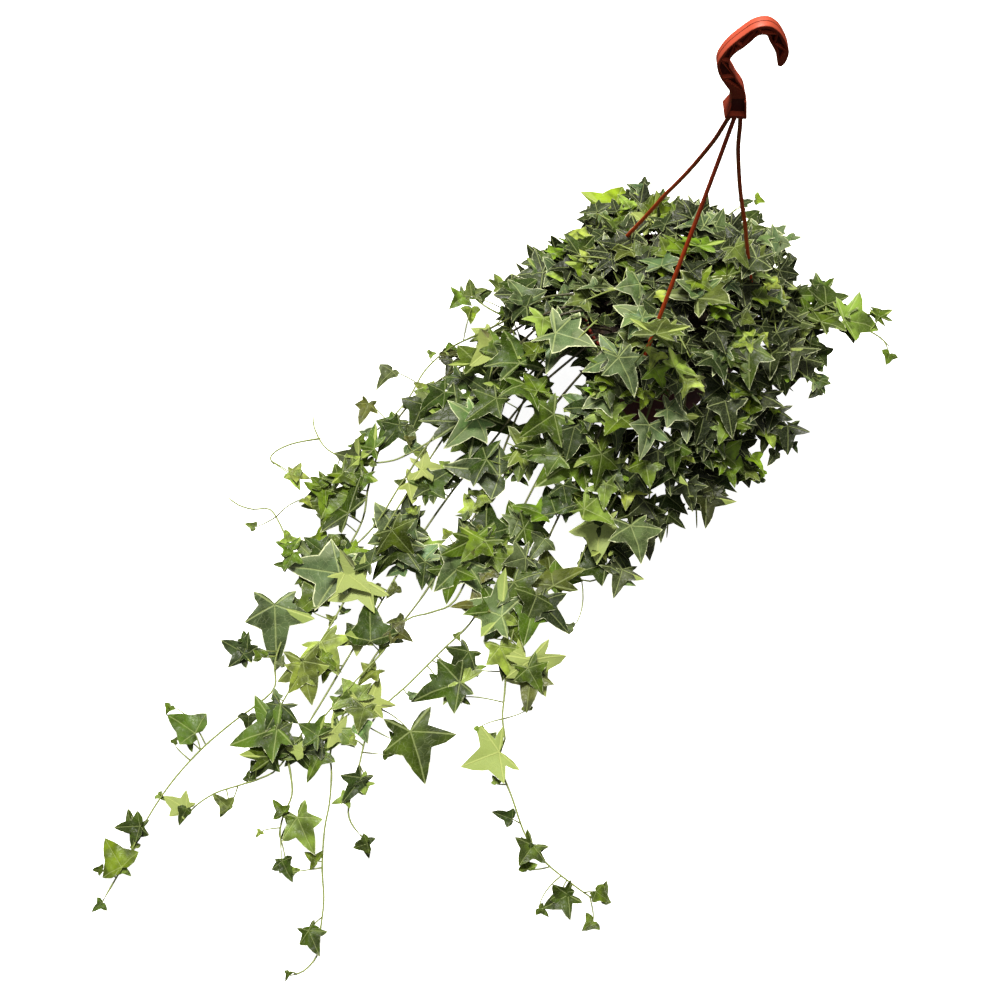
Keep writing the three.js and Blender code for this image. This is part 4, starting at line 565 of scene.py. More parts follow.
# Crown leaves that stand out: x, y, z, direction, length, spread of the lobes, tone
crownFeatures = [
    (-173, 0, 36, 116, 22, 0.5, "light"), (-180, -1, 34, 244, 20, 0.8, "bright"),
    (-169, -11, 34, 287, 16, 0.45, "bright"), (-169, 1, 36, 47, 19, 0, "mid"),
    (-148, 1, 59, 118, 21, 0.25, "light"), (-133, -4, 64, 115, 33, 0.6, "grey"),
    (-125, -3, 75, 133, 19, 0.5, "grey"), (-118, 9, 98, 122, 23, 0.55, "mid"),
    (-114, 1, 100, 102, 25, 0.3, "frost"), (-112, 1, 102, 204, 24, 0.85, "grey"),
    (-111, 22, 102, 53, 18, 0.25, "bright"), (-96, 24, 113, 119, 18, 0.3, "deep"),
    (-95, 20, 114, 53, 13, 0.5, "grey"), (-89, 39, 116, 157, 19, 0.8, "lime"),
    (-77, 5, 129, 83, 19, 0.3, "lime"), (-81, 6, 126, 290, 20, 1, "bright"),
    (-94, -7, 115, 191, 15, 1, "lime"), (-68, -20, 130, 71, 21, 0.9, "dark"),
    (-97, -43, 101, 284, 23, 0.8, "lime"), (-132, -13, 65, 275, 19, 0.5, "mid"),
    (-94, -29, 110, 52, 8, 0.3, "lime"), (-87, 79, 105, 119, 20, 0.7, "grey"),
    (-78, 67, 113, 184, 17, 0.2, "frost"), (-94, 71, 104, 219, 8, 0.2, "mid"),
    (-67, 46, 131, 131, 15, 0.8, "mid"), (-71, 81, 111, 123, 15, 0.65, "grey"),
    (-61, 89, 112, 145, 17, 0.8, "lime"), (-54, 96, 112, 46, 17, 0.9, "lime"),
    (-64, 107, 104, 118, 15, 0.65, "grey"), (-35, 104, 114, 145, 13, 0.65, "frost"),
    (-26, 89, 129, 286, 16, 0.8, "mid"), (-5, 72, 145, 211, 33, 0.45, "grey"),
    (5, 61, 151, 195, 25, 0.75, "frost"), (14, 66, 149, 18, 28, 0.4, "frost"),
    (7, 33, 158, 92, 22, 0.9, "bright"), (33, 18, 188, 327, 20, 0.8, "light"),
    (-17, 8, 150, 98, 26, 0.6, "frost"), (-29, -9, 141, 216, 24, 0.9, "frost"),
    (19, -14, 153, 59, 45, 0.6, "light"), (19, -12, 154, 124, 35, 0.2, "frost"),
    (19, -14, 153, 138, 15, 0.2, "frost"), (32, -13, 154, 8, 24, 0.5, "bright"),
    (40, -16, 153, 248, 19, 0.4, "bright"), (58, -16, 150, 0, 13, 0.6, "light"),
    (46, 114, 111, 122, 15, 0.4, "dark"), (42, 157, 95, 9, 11, 0.65, "bright"),
    (42, 96, 122, 155, 10, 0.3, "light"), (44, 97, 121, 30, 16, 0.1, "light"),
    (65, 97, 116, 26, 24, 0.9, "frost"), (78, 75, 121, 43, 15, 0.95, "grey"),
    (86, 63, 122, 123, 7, 0.6, "grey"), (84, 51, 129, 266, 20, 0.4, "grey"),
    (74, 32, 143, 319, 24, 0.1, "lime"), (73, 26, 145, 84, 15, 0.2, "lime"),
    (72, 30, 145, 121, 11, 0, "lime"), (-171, -67, 34, 117, 16, 0.4, "olive"),
    (-165, -70, 34, 271, 20, 0.65, "olive"), (-150, -83, 34, 224, 16, 0.3, "dark"),
    (-134, -51, 50, 245, 32, 0.45, "pale"), (-141, -39, 48, 252, 26, 0.3, "pale"),
    (-128, -61, 52, 127, 27, 0.3, "mid"), (-143, -65, 34, 243, 21, 0.4, "light"),
    (-105, -73, 70, 128, 41, 1, "dark"), (-104, -75, 69, 255, 20, 0.3, "grey"),
    (-82, -57, 107, 355, 40, 0.7, "frost"), (-80, -97, 74, 26, 15, 0.8, "lime"),
    (-82, -95, 73, 137, 25, 0.1, "bright"), (-81, -93, 75, 100, 17, 0.1, "lime"),
    (-79, -98, 73, 296, 18, 0.75, "lime"), (-81, -93, 75, 43, 15, 0.35, "bright"),
    (-37, -107, 92, 167, 25, 0.45, "frost"), (-45, -51, 131, 101, 16, 0.3, "dark"),
    (-58, -46, 127, 54, 9, 0.4, "grey"), (-18, -46, 149, 161, 28, 0.6, "frost"),
    (-17, -47, 150, 248, 20, 0.2, "frost"), (-3, -73, 171, 85, 27, 0.9, "light"),
    (-26, -73, 127, 216, 30, 0.5, "frost"), (-27, -71, 127, 124, 20, 0.2, "frost"),
    (-25, -74, 127, 316, 34, 0.4, "grey"), (-17, -57, 136, 251, 21, 0.6, "light"),
    (3, -70, 144, 262, 14, 0.9, "lime"), (20, -71, 134, 74, 22, 0.8, "lime"),
    (5, -75, 131, 316, 19, 0.7, "bright"), (32, -75, 129, 272, 18, 0.7, "lime"),
    (4, -92, 119, 280, 16, 0.6, "bright"), (-29, -95, 110, 13, 25, 0.5, "light"),
    (-28, -93, 111, 178, 14, 0.6, "bright"), (-34, -98, 105, 173, 12, 0.4, "bright"),
    (-22, -107, 99, 302, 25, 0.9, "lime"), (-7, -111, 97, 17, 13, 0.9, "lime"),
    (25, -97, 113, 357, 22, 0.5, "frost"), (25, -80, 128, 301, 24, 0.2, "grey"),
    (12, -94, 117, 141, 13, 0.4, "grey"), (55, -48, 140, 7, 18, 0.9, "mid"),
    (71, -26, 141, 219, 20, 0.1, "lime"), (77, -20, 140, 324, 12, 0.4, "lime"),
    (71, -33, 139, 285, 37, 0.05, "light"), (79, -61, 119, 110, 24, 0.9, "frost"),
    (67, -75, 117, 302, 29, 0.7, "grey"), (62, -101, 92, 111, 16, 0.2, "frost"),
    (104, -7, 120, 288, 30, 0.6, "grey"), (95, -33, 122, 304, 21, 0.75, "dark"),
    (108, -33, 114, 12, 11, 0.5, "bright"), (121, 10, 111, 6, 17, 0.95, "dark"),
    (132, -5, 105, 55, 13, 0.6, "mid"), (121, -5, 110, 295, 22, 0.45, "grey"),
    (133, -20, 103, 47, 24, 0.25, "frost"), (138, -16, 102, 259, 15, 0.8, "mid"),
    (139, -24, 101, 243, 13, 0, "dark"), (89, -66, 106, 191, 11, 0.6, "bright"),
    (93, -68, 100, 209, 15, 0.3, "bright"), (92, -74, 95, 254, 12, 0.3, "lime"),
    (108, -54, 94, 27, 10, 0.4, "bright"), (114, -53, 90, 328, 9, 0.4, "deep"),
    (132, -62, 86, 124, 14, 0.45, "dark"), (114, -62, 81, 324, 12, 0.9, "bright"),
    (-53, -108, 82, 348, 9, 0.65, "lime"), (-34, -119, 77, 120, 15, 0.2, "lime"),
    (-33, -118, 80, 92, 16, 0.3, "lime"), (-45, -116, 75, 284, 12, 0.5, "frost"),
    (21, -114, 92, 142, 24, 0.2, "grey"), (22, -113, 92, 72, 21, 0.2, "grey"),
    (40, -111, 90, 287, 29, 0.1, "mid"), (-22, -144, 51, 137, 14, 0.2, "lime"),
    (-21, -144, 51, 82, 14, 0.3, "lime"), (-30, -153, 40, 141, 11, 0.9, "lime"),
    (-29, -161, 30, 165, 17, 0.9, "lime"), (-17, -157, 37, 260, 22, 0.8, "bright"),
    (-12, -158, 37, 33, 18, 0.7, "bright"), (-14, -127, 73, 327, 10, 0.8, "lime"),
    (-9, -131, 68, 324, 17, 0.3, "frost"), (7, -139, 61, 51, 15, 0.9, "bright"),
    (16, -125, 76, 338, 9, 0.6, "lime"), (19, -129, 72, 344, 14, 0.3, "lime"),
    (16, -142, 56, 282, 23, 1, "lime"), (-5, -145, 52, 344, 14, 0.6, "bright"),
    (9, -140, 59, 21, 9, 0.5, "lime"), (25, -121, 81, 330, 11, 0.4, "light"),
    (33, -148, 47, 244, 21, 0.65, "olive"), (35, -159, 35, 238, 17, 0.2, "olive"),
    (8, -175, 30, 186, 17, 0.8, "dark"), (14, -188, 30, 237, 24, 0.75, "dark"),
    (4, -170, 30, 282, 41, 0, "pale"), (39, -169, 30, 312, 25, 0.9, "olive"),
    (39, -171, 30, 244, 20, 0.4, "olive"), (29, -181, 30, 246, 9, 0.3, "light"),
    (20, -189, 30, 339, 19, 0.5, "dark"), (47, -153, 38, 303, 24, 0.75, "grey"),
    (51, -153, 37, 259, 15, 0.2, "grey"), (56, -149, 40, 346, 18, 0.25, "dark"),
    (51, -113, 83, 340, 11, 0.4, "lime"), (80, -127, 52, 287, 27, 0.65, "olive"),
    (83, -123, 54, 8, 16, 0.8, "olive"), (83, -122, 56, 218, 16, 0.3, "olive"),
    (74, -99, 85, 336, 12, 0.9, "bright"), (80, -104, 75, 229, 14, 0.7, "bright"),
    (91, -105, 67, 304, 15, 0.6, "bright"), (113, -96, 58, 215, 18, 0.25, "mid"),
    (106, -87, 70, 322, 16, 0.95, "bright"), (105, -99, 62, 39, 22, 0.55, "light"),
    (124, -73, 65, 260, 16, 0, "grey"), (125, -58, 86, 287, 24, 0.45, "dark"),
    (111, -65, 82, 304, 16, 0.7, "lime"), (122, -63, 73, 312, 14, 0.5, "bright"),
    (48, 13, 173, 41, 18, 0.6, "dark"),
]

# Leaves that the solids leave out, in the same order of values
moreLeaves = [
    (49, -132, 40, -20, 26, 0.8, "deep"), (-125, -355, 21, -122, 20, 0.3, "light"),
    (-33, -187, 51, 125, 28, 0.8, "dark"), (-172, -161, 30, 1, 17, 0.8, "frost"),
    (-203, -423, 21, -66, 13, 0.8, "dark"), (-35, -207, 38, -105, 22, 0.3, "grey"),
    (27, -193, 27, -38, 21, 0.8, "dark"), (-135, -268, 28, -140, 16, 0.3, "frost"),
    (-18, -134, 68, 161, 26, 0.8, "dark"), (129, 8, 104, 41, 19, 0.8, "dark"),
    (-57, 116, 108, 180, 14, 0.8, "frost"), (-109, -454, 15, -142, 12, 0.8, "light"),
    (-112, -504, 13, 166, 12, 0.8, "bright"), (37, -457, 15, 127, 12, 0.8, "bright"),
    (-7, -120, 69, 59, 29, 0.8, "dark"), (89, -82, 73, 40, 23, 0.8, "mid"),
    (27, -160, 42, 161, 26, 0.8, "dark"), (-42, -282, 29, -36, 25, 0.8, "bright"),
    (-59, -202, 35, 126, 28, 0.8, "mid"), (-119, -400, 21, -50, 16, 0.8, "frost"),
    (-159, -434, 17, -32, 20, 0.8, "mid"), (-131, -69, 48, -55, 31, 0.8, "dark"),
    (81, 111, 109, 89, 14, 0.8, "frost"), (40, 115, 115, 61, 17, 0.3, "mid"),
    (-264, -435, 13, -101, 9, 0.8, "bright"), (47, -122, 72, -122, 28, 0.8, "deep"),
    (-143, -397, 19, 20, 12, 0.8, "light"), (-34, -236, 34, 126, 17, 0.8, "dark"),
    (-213, -173, 29, 80, 11, 0.3, "bright"), (-247, -525, 10, -82, 18, 0.3, "mid"),
    (-206, -271, 27, 113, 18, 0.8, "bright"), (-51, -75, 109, -138, 14, 0.8, "deep"),
    (-213, -376, 20, 147, 13, 0.8, "mid"), (54, -480, 12, -15, 9, 0.8, "bright"),
    (119, 56, 119, -158, 27, 0.8, "mid"), (-262, -278, 28, -178, 10, 0.3, "light"),
    (-231, -280, 28, 130, 14, 0.3, "light"), (-121, -257, 29, -53, 27, 0.8, "frost"),
    (-110, -231, 34, 144, 10, 0.3, "light"), (73, -106, 48, 89, 31, 0.8, "dark"),
    (-161, -202, 38, -179, 10, 0.3, "light"), (-95, -189, 41, -179, 13, 0.3, "bright"),
    (-127, -334, 27, -86, 10, 0.8, "bright"), (-7, -138, 64, -39, 27, 0.8, "dark"),
    (-16, -235, 30, 21, 26, 0.8, "mid"), (-257, -562, 10, -160, 9, 0.3, "bright"),
    (-93, -365, 19, 39, 9, 0.3, "frost"), (-196, -201, 30, -84, 19, 0.3, "mid"),
    (-219, -240, 28, -159, 17, 0.8, "light"), (121, -94, 60, 160, 10, 0.8, "bright"),
    (-120, -411, 19, -141, 12, 0.3, "light"), (-251, -527, 10, 134, 15, 0.3, "mid"),
    (-74, 87, 101, 93, 35, 0.8, "bright"), (-55, -218, 36, 109, 14, 0.8, "deep"),
    (-43, -94, 97, -179, 10, 0.3, "dark"), (77, 97, 107, 0, 10, 0.3, "grey"),
    (-161, -367, 25, -85, 13, 0.8, "bright"), (-72, -121, 56, -179, 21, 0.8, "mid"),
    (-196, -191, 29, 96, 11, 0.8, "light"), (161, 50, 122, -23, 17, 0.3, "bright"),
    (-69, -256, 32, 1, 10, 0.8, "dark"), (112, -65, 74, -92, 16, 0.8, "mid"),
    (-142, -379, 21, -141, 9, 0.8, "frost"), (-123, -190, 38, 127, 11, 0.8, "deep"),
    (3, -210, 27, 125, 11, 0.8, "dark"), (49, 93, 118, 43, 30, 0.3, "frost"),
    (-209, -302, 20, -120, 10, 0.8, "bright"), (-188, -403, 21, 131, 10, 0.3, "frost"),
    (-102, -210, 36, -179, 10, 0.8, "grey"), (-122, -248, 28, 127, 22, 0.8, "light"),
    (76, 11, 130, -158, 14, 0.8, "deep"), (-128, -518, 12, 38, 9, 0.8, "light"),
    (-211, -165, 27, 79, 11, 0.3, "frost"), (11, -269, 30, -178, 10, 0.3, "grey"),
    (-76, -346, 24, 164, 10, 0.3, "dark"), (-95, -414, 17, 20, 9, 0.3, "bright"),
    (-184, -467, 13, 114, 9, 0.3, "mid"), (125, -65, 66, -92, 12, 0.8, "dark"),
    (-83, -155, 41, -87, 15, 0.3, "bright"), (-205, -325, 20, 147, 10, 0.3, "mid"),
    (-135, -23, 58, 125, 12, 0.3, "mid"), (-144, -140, 49, -85, 19, 0.8, "bright"),
    (36, -215, 27, 1, 13, 0.8, "frost"), (-54, -353, 24, -16, 9, 0.8, "mid"),
    (-240, -454, 12, -47, 10, 0.8, "bright"), (-2, -345, 27, 126, 10, 0.3, "light"),
    (-161, -266, 30, 95, 11, 0.8, "bright"), (-148, -298, 28, -68, 10, 0.3, "bright"),
    (-154, -332, 25, 146, 10, 0.8, "dark"), (-90, -401, 18, 147, 9, 0.8, "mid"),
    (-82, -480, 15, -142, 12, 0.8, "mid"), (-49, -300, 29, 145, 10, 0.8, "frost"),
    (-196, -378, 24, 96, 10, 0.3, "grey"), (-33, -370, 23, -70, 9, 0.3, "light"),
    (-191, -327, 20, 146, 10, 0.8, "mid"), (-133, -174, 40, 162, 10, 0.8, "light"),
    (-232, -369, 18, 115, 10, 0.3, "dark"), (-52, -328, 24, 39, 10, 0.8, "light"),
    (-177, -105, 28, 161, 15, 0.8, "light"), (-127, -327, 27, 2, 16, 0.8, "frost"),
    (31, 133, 110, 43, 12, 0.3, "frost"), (-168, -240, 27, 145, 11, 0.3, "frost"),
    (-197, -267, 28, 60, 13, 0.8, "bright"), (-225, -300, 28, -159, 10, 0.8, "bright"),
    (-134, -408, 19, -104, 23, 0.8, "light"), (-244, -557, 10, -13, 9, 0.3, "light"),
    (-177, -150, 30, 42, 11, 0.8, "grey"), (-23, -376, 23, 56, 9, 0.8, "light"),
    (-182, -457, 18, 148, 9, 0.8, "bright"), (-78, -109, 70, -179, 10, 0.3, "bright"),
    (-158, -98, 42, -158, 14, 0.3, "mid"), (128, 36, 123, 102, 16, 0.8, "mid"),
    (80, -135, 50, -140, 14, 0.8, "dark"), (-213, -248, 28, -84, 11, 0.8, "bright"),
    (59, -137, 35, -58, 14, 0.8, "grey"), (-175, -419, 21, 131, 10, 0.3, "mid"),
    (-3, -82, 184, 85, 27, 0.9, "light"), (53, 24, 176, -106, 26, 0.5, "grey"),
    (44, 27, 172, -31, 18, 0.3, "mid"), (-95, -54, 117, -76, 23, 0.8, "lime"),
    (-130, -69, 77, -115, 31, 0.45, "pale"), (-124, -77, 78, 127, 26, 0.3, "mid"),
    (-139, -82, 61, -117, 20, 0.4, "light"), (-102, -87, 92, 128, 40, 1, "dark"),
    (-80, -70, 126, -5, 39, 0.7, "frost"), (-80, -107, 92, 137, 24, 0.1, "bright"),
    (-78, -104, 84, -64, 18, 0.75, "lime"), (-25, -83, 140, -44, 33, 0.4, "grey"),
    (8, -182, 44, -174, 17, 0.8, "dark"), (4, -177, 44, -78, 40, 0, "pale"),
    (-125, -33, 55, -158, 19, 0.8, "mid"), (61, -61, 115, -121, 26, 0.8, "deep"),
    (111, -50, 89, -92, 22, 0.8, "dark"), (-188, -70, 31, 43, 9, 0.3, "light"),
    (-166, -319, 21, 146, 9, 0.8, "frost"), (-120, -179, 37, -159, 11, 0.3, "dark"),
    (-25, -182, 47, -72, 9, 0.8, "deep"), (-244, -499, 9, -14, 8, 0.3, "light"),
    (69, 120, 105, 60, 11, 0.8, "frost"), (-167, -64, 31, 126, 18, 0.8, "bright"),
    (-172, -328, 21, 164, 8, 0.8, "light"), (-56, 122, 107, 106, 11, 0.3, "grey"),
    (-150, -48, 48, -137, 9, 0.3, "light"), (-52, -76, 107, -138, 11, 0.8, "deep"),
    (-6, -406, 20, 128, 8, 0.3, "light"), (-62, 112, 107, 157, 12, 0.8, "frost"),
    (-75, -308, 24, 76, 8, 0.3, "light"), (1, -155, 42, 21, 19, 0.8, "dark"),
    (-144, -388, 19, 164, 8, 0.8, "light"), (-38, 108, 115, 92, 11, 0.3, "frost"),
    (87, 93, 106, 118, 10, 0.3, "grey"), (-105, -190, 36, 126, 9, 0.8, "light"),
    (-250, -460, 11, 79, 7, 0.3, "mid"), (49, 114, 115, 90, 11, 0.3, "dark"),
    (-242, -540, 8, 134, 8, 0.3, "light"), (-160, -123, 31, 1, 19, 0.8, "mid"),
    (120, -100, 56, 121, 9, 0.3, "frost"), (96, -65, 67, 1, 11, 0.8, "grey"),
    (-159, -169, 30, 78, 12, 0.8, "light"), (134, -67, 76, -42, 9, 0.3, "deep"),
    (-43, -196, 37, 58, 9, 0.3, "deep"),
]

# Seeds of places where no leaf grows, so that the floor or the pot shows
bare = [
    3002, 3004, 3006, 3007, 3009, 3011, 3060, 3061, 3063, 3064, 3065, 3067, 3069, 3120, 3122, 3123, 3125,
    3126, 3128, 3129, 3130, 3180, 3184, 3188, 3189, 3190, 3245, 3250, 3300, 3303, 3305, 3306, 3307, 3308,
    3309, 3310, 3311, 3360, 3364, 3365, 3366, 3367, 3368, 3421, 3422, 3423, 3424, 3425, 3426, 3427, 3428,
    3481, 3484, 3485, 3486, 3489, 3490, 3491, 3541, 3542, 3543, 3545, 3546, 3547, 3548, 3550, 3604, 3605,
    3606, 3661, 3662, 3663, 3723, 3725, 3780, 3785, 3844, 3905, 3963, 3964, 4021, 4023, 4082, 4500, 4563,
    5012, 5013, 5014, 5015, 5016, 5017, 5018, 5019, 5022, 6022, 6032, 6072, 6077, 6080, 6081, 6083, 6085,
    6088, 6090, 6092, 6109, 6110, 6119, 6121, 6125, 6126, 6132, 6134, 6136, 6141, 6143, 6155, 6158, 6160,
    6162, 6166, 6175, 6181, 6183, 6185, 6190, 6192, 6201, 6220, 6223, 6224, 6227, 6230, 6231, 6232, 6240,
    6243, 6251, 6260, 6269, 6272, 6277, 6280, 6281, 6282, 6285, 6287, 6289, 6301, 6309, 6310, 6311, 6325,
    6326, 6328, 6332, 6334, 6343, 6345, 6357, 6360, 6364, 6371, 6374, 6375, 6382, 6383, 6392, 6410, 6413,
    6423, 6433, 6435, 6440, 6444, 6448, 6458, 6461, 6471, 6477, 6480, 6482, 6485, 6489, 6497, 6499, 6505,
    6508, 6515, 6518,
]

# Each tone: colour, cream margin, vein strength, share among the leaves of the trailing stems and of the
# crown, and the painted light and shade of its leaves in the crown
tones = {
    "lime": ("#a7be4d", 0.25, 0.55, 3, 11, 1.45),
    "bright": ("#5b7213", 0.25, 0.4, 13, 14, 1.9),
    "light": ("#7c903a", 0.5, 0.45, 6, 6, 0.6),
    "mid": ("#4d6314", 0.3, 0.45, 22, 14, 0.64),
    "dark": ("#33470c", 0.3, 0.4, 32, 20, 0.28),
    "deep": ("#2d3c18", 0.35, 0.35, 6, 6, 1.1),
    "grey": ("#58663c", 0.45, 0.55, 5, 22, 0.31),
    "frost": ("#698450", 0.75, 0.6, 3, 12, 0.62),
    "olive": ("#5b5f25", 0.3, 0.35, 5, 2, 0.27),
    "pale": ("#868b5e", 0.2, 0.4, 7, 1, 1.4),
}


def rootPoints(radius, angle):
    soilTop = growth["soilEdge"] + growth["soilMound"] * (1 - radius / growth["rim"])
    return [polar(radius, angle, z) for z in (soilTop - growth["holeDepth"], soilTop + growth["aboveSoil"])]


def overRim(name, rim, i, bow):  # out of the soil and over the rim of the pot
    radius, z = growth[name][-1]
    over = [polar(near, rim, height) for near, height in growth[name][:-1]]
    return rootPoints(growth["rootRadii"][i % 2], rim) + [*over, polar(radius + bow, rim, z)]


def trailPoints(trail, i):
    return overRim("trailOverRim", trail["rim"], i, trail["bow"]) + [Vector(place) for place in trail["path"]]


def skirtPoints(rim, end, i):
    radius, z = growth["skirtBend"]
    return overRim("skirtOverRim", rim, i, 0) + [polar(radius, rim, z).lerp(Vector(end), 0.35), Vector(end)]


def crownPoints(i):
    share = (i + 0.5) / growth["crownStems"]
    angle = i * growth["goldenAngle"] + 8
    rootRadius = 8 + 36 * math.sqrt(share)
    reach = 42 + 62 * math.sqrt(share)
    return rootPoints(rootRadius, angle) + [
        polar(rootRadius + 4, angle, 120 - 4 * share),
        polar(rootRadius + 0.45 * (reach - rootRadius), angle + 4, 140 - 12 * share),
        polar(reach, angle + 12, 142 - 16 * share)]


def stemCurve(points, step):  # a smooth line through the points, in pieces about a step long
    ends = [points[0] * 2 - points[1], *points, points[-1] * 2 - points[-2]]
    line = [points[0].copy()]
    for before, start, end, after in zip(ends, ends[1:], ends[2:], ends[3:]):
        leave, arrive = (end - before) / 2, (after - start) / 2
        pieces = max(1, math.floor((end - start).length / step + 0.5))
        for piece in range(1, pieces + 1):
            t = piece / pieces
            line.append(start + leave * t + (end * 3 - start * 3 - leave * 2 - arrive) * t ** 2
                        + (start * 2 - end * 2 + leave + arrive) * t ** 3)
    return line


def placesAlong(line, step):
    places = []
    for start, end in zip(line, line[1:]):
        count = max(1, math.floor((end - start).length / step + 0.5))
        places += [start.lerp(end, (k + 0.5) / count) for k in range(count)]
    return places


def nearest(place, places):
    return min(places, key=lambda other: (other - place).length)


def makeStem(node, points, branch=None):
    lines = [stemCurve(points, growth["stemStep"])]
    fine = [stemCurve(points, growth["fineStep"])]
    if branch:
        twig = [Vector(place) for place in branch]
        twig[0] = nearest(twig[0], placesAlong(lines[0], growth["reachStep"]))
        lines.append(stemCurve(twig, growth["stemStep"]))
        fine.append(stemCurve(twig, growth["twigStep"]))
    reach = []
    for i, line in enumerate(lines):
        reach += placesAlong(line, growth["reachStep"])[0 if i else growth["barePlaces"]:]
    return {"node": node, "reach": reach, "fine": fine}


def allStems():
    stems = [makeStem(node, trailPoints(trail, i), trail.get("branch"))
             for i, (node, trail) in enumerate(trails.items())]
    stems += [makeStem(f"ivy_skirt_{i + 1}", skirtPoints(rim, end, i))
              for i, (rim, end) in enumerate(skirtStems)]
    stems += [makeStem(f"ivy_crown_{i + 1}", crownPoints(i)) for i in range(growth["crownStems"])]
    return stems


def bladePlace(leaf, x, y, lift):
    side = leaf["normal"].cross(leaf["direction"])
    level = leaf["direction"] * (x * leaf["length"]) + side * (y * leaf["length"])
    height = leaf["length"] * (leaf["fold"] * abs(y) - leaf["droop"] * x * x)
    return leaf["base"] + level + leaf["normal"] * (height + lift)


# Corners of half a blade with close and with wide lobes, which tell how low a leaf may lie
fiveLobes = [
    ((-0.2, 0.29), (-0.32, 0.58)), ((0.02, 0.22), (-0.03, 0.36)), ((0.3, 0.5), (0.19, 0.84)),
    ((0.4, 0.17), (0.37, 0.26))]
threeLobes = [((0.1, 0.42), (0.04, 0.66)), ((0.38, 0.17), (0.36, 0.25))]


def bladeEdge(length, star):
    lobes = fiveLobes if length > growth["leastFiveLobed"] else threeLobes
    half = [(x + (x2 - x) * star, y + (y2 - y) * star) for (x, y), (x2, y2) in lobes]
    return half + [(1, 0)] + [(x, -y) for x, y in half]


def placedLeaf(seed, base, heading, length, tilt, roll, star, tone):
    direction = polar(math.cos(math.radians(tilt)), heading, math.sin(math.radians(tilt)))
    side = polar(1, heading + 90, 0)
    normal = direction.cross(side)
    normal = normal * math.cos(math.radians(roll)) + side * math.sin(math.radians(roll))
    leaf = {
        "seed": seed, "base": base, "direction": direction, "normal": normal, "length": length,
        "star": star, "tone": tone,
        "fold": between(seed, 1, 0.12, 0.2), "droop": between(seed, 2, 0.04, 0.16),
    }
    lowest = min(bladePlace(leaf, x, y, -growth["thickness"]).z for x, y in bladeEdge(length, star))
    base.z += max(0, growth["clearance"] - lowest)
    return leaf


def attach(leaf, stems):  # to the place on a stem that is near and behind the leaf
    least = math.inf
    for stem in stems:
        for place in stem["reach"]:
            run = place - leaf["base"]
            away = run.length
            cost = away * (1.2 + max(-0.2, run.dot(leaf["direction"]) / (away + 0.01)))
            if cost < least:
                least, leaf["root"], leaf["stem"] = cost, place, stem
    return leaf


def pickTone(seed, crown, length):  # only small young leaves are lime
    shares = {name: tone[4 if crown else 3] for name, tone in tones.items()}
    shares["lime"] *= 1 if length < growth["youngLeaf"] else 0
    left = draw(seed, 31) * sum(shares.values())
    for name, share in shares.items():
        left -= share
        if left <= 0:
            return name
    return "mid"


def chosenLeaves(stems):
    leaves = []
    for t, (node, trail) in enumerate(trails.items()):
        own = [stem for stem in stems if stem["node"] == node]
        for i, (x, y, heading, length, star, tone) in enumerate(trail["leaves"]):
            seed = seeds["trail"] * t + i
            base = Vector((x, y, 0))
            base.z = nearest(base, own[0]["reach"]).z + 2 + 5 * draw(seed, 3)
            tilt, roll = spread(seed, 4, 8), spread(seed, 5, 14)
            leaves.append(attach(placedLeaf(seed, base, heading, length, tilt, roll, star, tone), own))
    upper = [stem for stem in stems if not stem["node"].startswith("ivy_trail")]
    for name, rows, carriers, drop in (("crown", crownFeatures, upper, 4), ("more", moreLeaves, stems, 0)):
        for seed, (x, y, z, heading, length, star, tone) in enumerate(rows, seeds[name]):
            tilt, roll = spread(seed, 4, 12) - drop, spread(seed, 5, 22)
            leaf = placedLeaf(seed, Vector((x, y, z)), heading, length, tilt, roll, star, tone)
            leaves.append(attach(leaf, carriers))
    return leaves


def leavesAlong(stem, order, spacing, lengths):
    leaves = []
    line = stem["reach"]
    crown = stem["node"].startswith("ivy_skirt")
    left = spacing
    for i in range(fill["first"], len(line) - 1):
        left -= (line[i] - line[i - 1]).length
        if left > 0 or line[i].length > fill["reach"]:
            continue
        seed = seeds["fill"] + seeds["fillStep"] * order + len(leaves)
        left = spacing * between(seed, 6, *fill["gap"])
        forward = line[i + 1] - line[i - 1]
        course = math.degrees(math.atan2(forward.y, forward.x))
        course += (1 if len(leaves) % 2 else -1) * between(seed, 7, *fill["turn"])
        base = line[i] + polar(between(seed, 8, *fill["stalk"]), course, between(seed, 9, *fill["rise"]))
        length = between(seed, 10, *lengths)
        heading = course + spread(seed, 11, fill["heading"])
        tilt, roll = spread(seed, 4, fill["tilt"]) - fill["drop"], spread(seed, 5, fill["roll"])
        tone = pickTone(seed, crown, length)
        leaf = placedLeaf(seed, base, heading, length, tilt, roll, draw(seed, 13), tone)
        leaves.append({**leaf, "root": line[i], "stem": stem})
    return leaves


def endLeaf(stem, order):
    seed = seeds["end"] + order
    before, root = stem["reach"][-2:]
    course = math.degrees(math.atan2(root.y - before.y, root.x - before.x))
    heading, roll = course + spread(seed, 11, 30), spread(seed, 5, 20)
    length = between(seed, 10, 15, 5)
    leaf = placedLeaf(seed, root + polar(5, course, 0), heading, length, -8, roll, draw(seed, 13), "bright")
    return {**leaf, "root": root, "stem": stem}


def crownSurface(share, turn):  # turn is counted from the crown's high side, in radians
    return growth["crownTop"] + growth["crownLean"] * math.cos(turn) - growth["crownFall"] * share ** 3


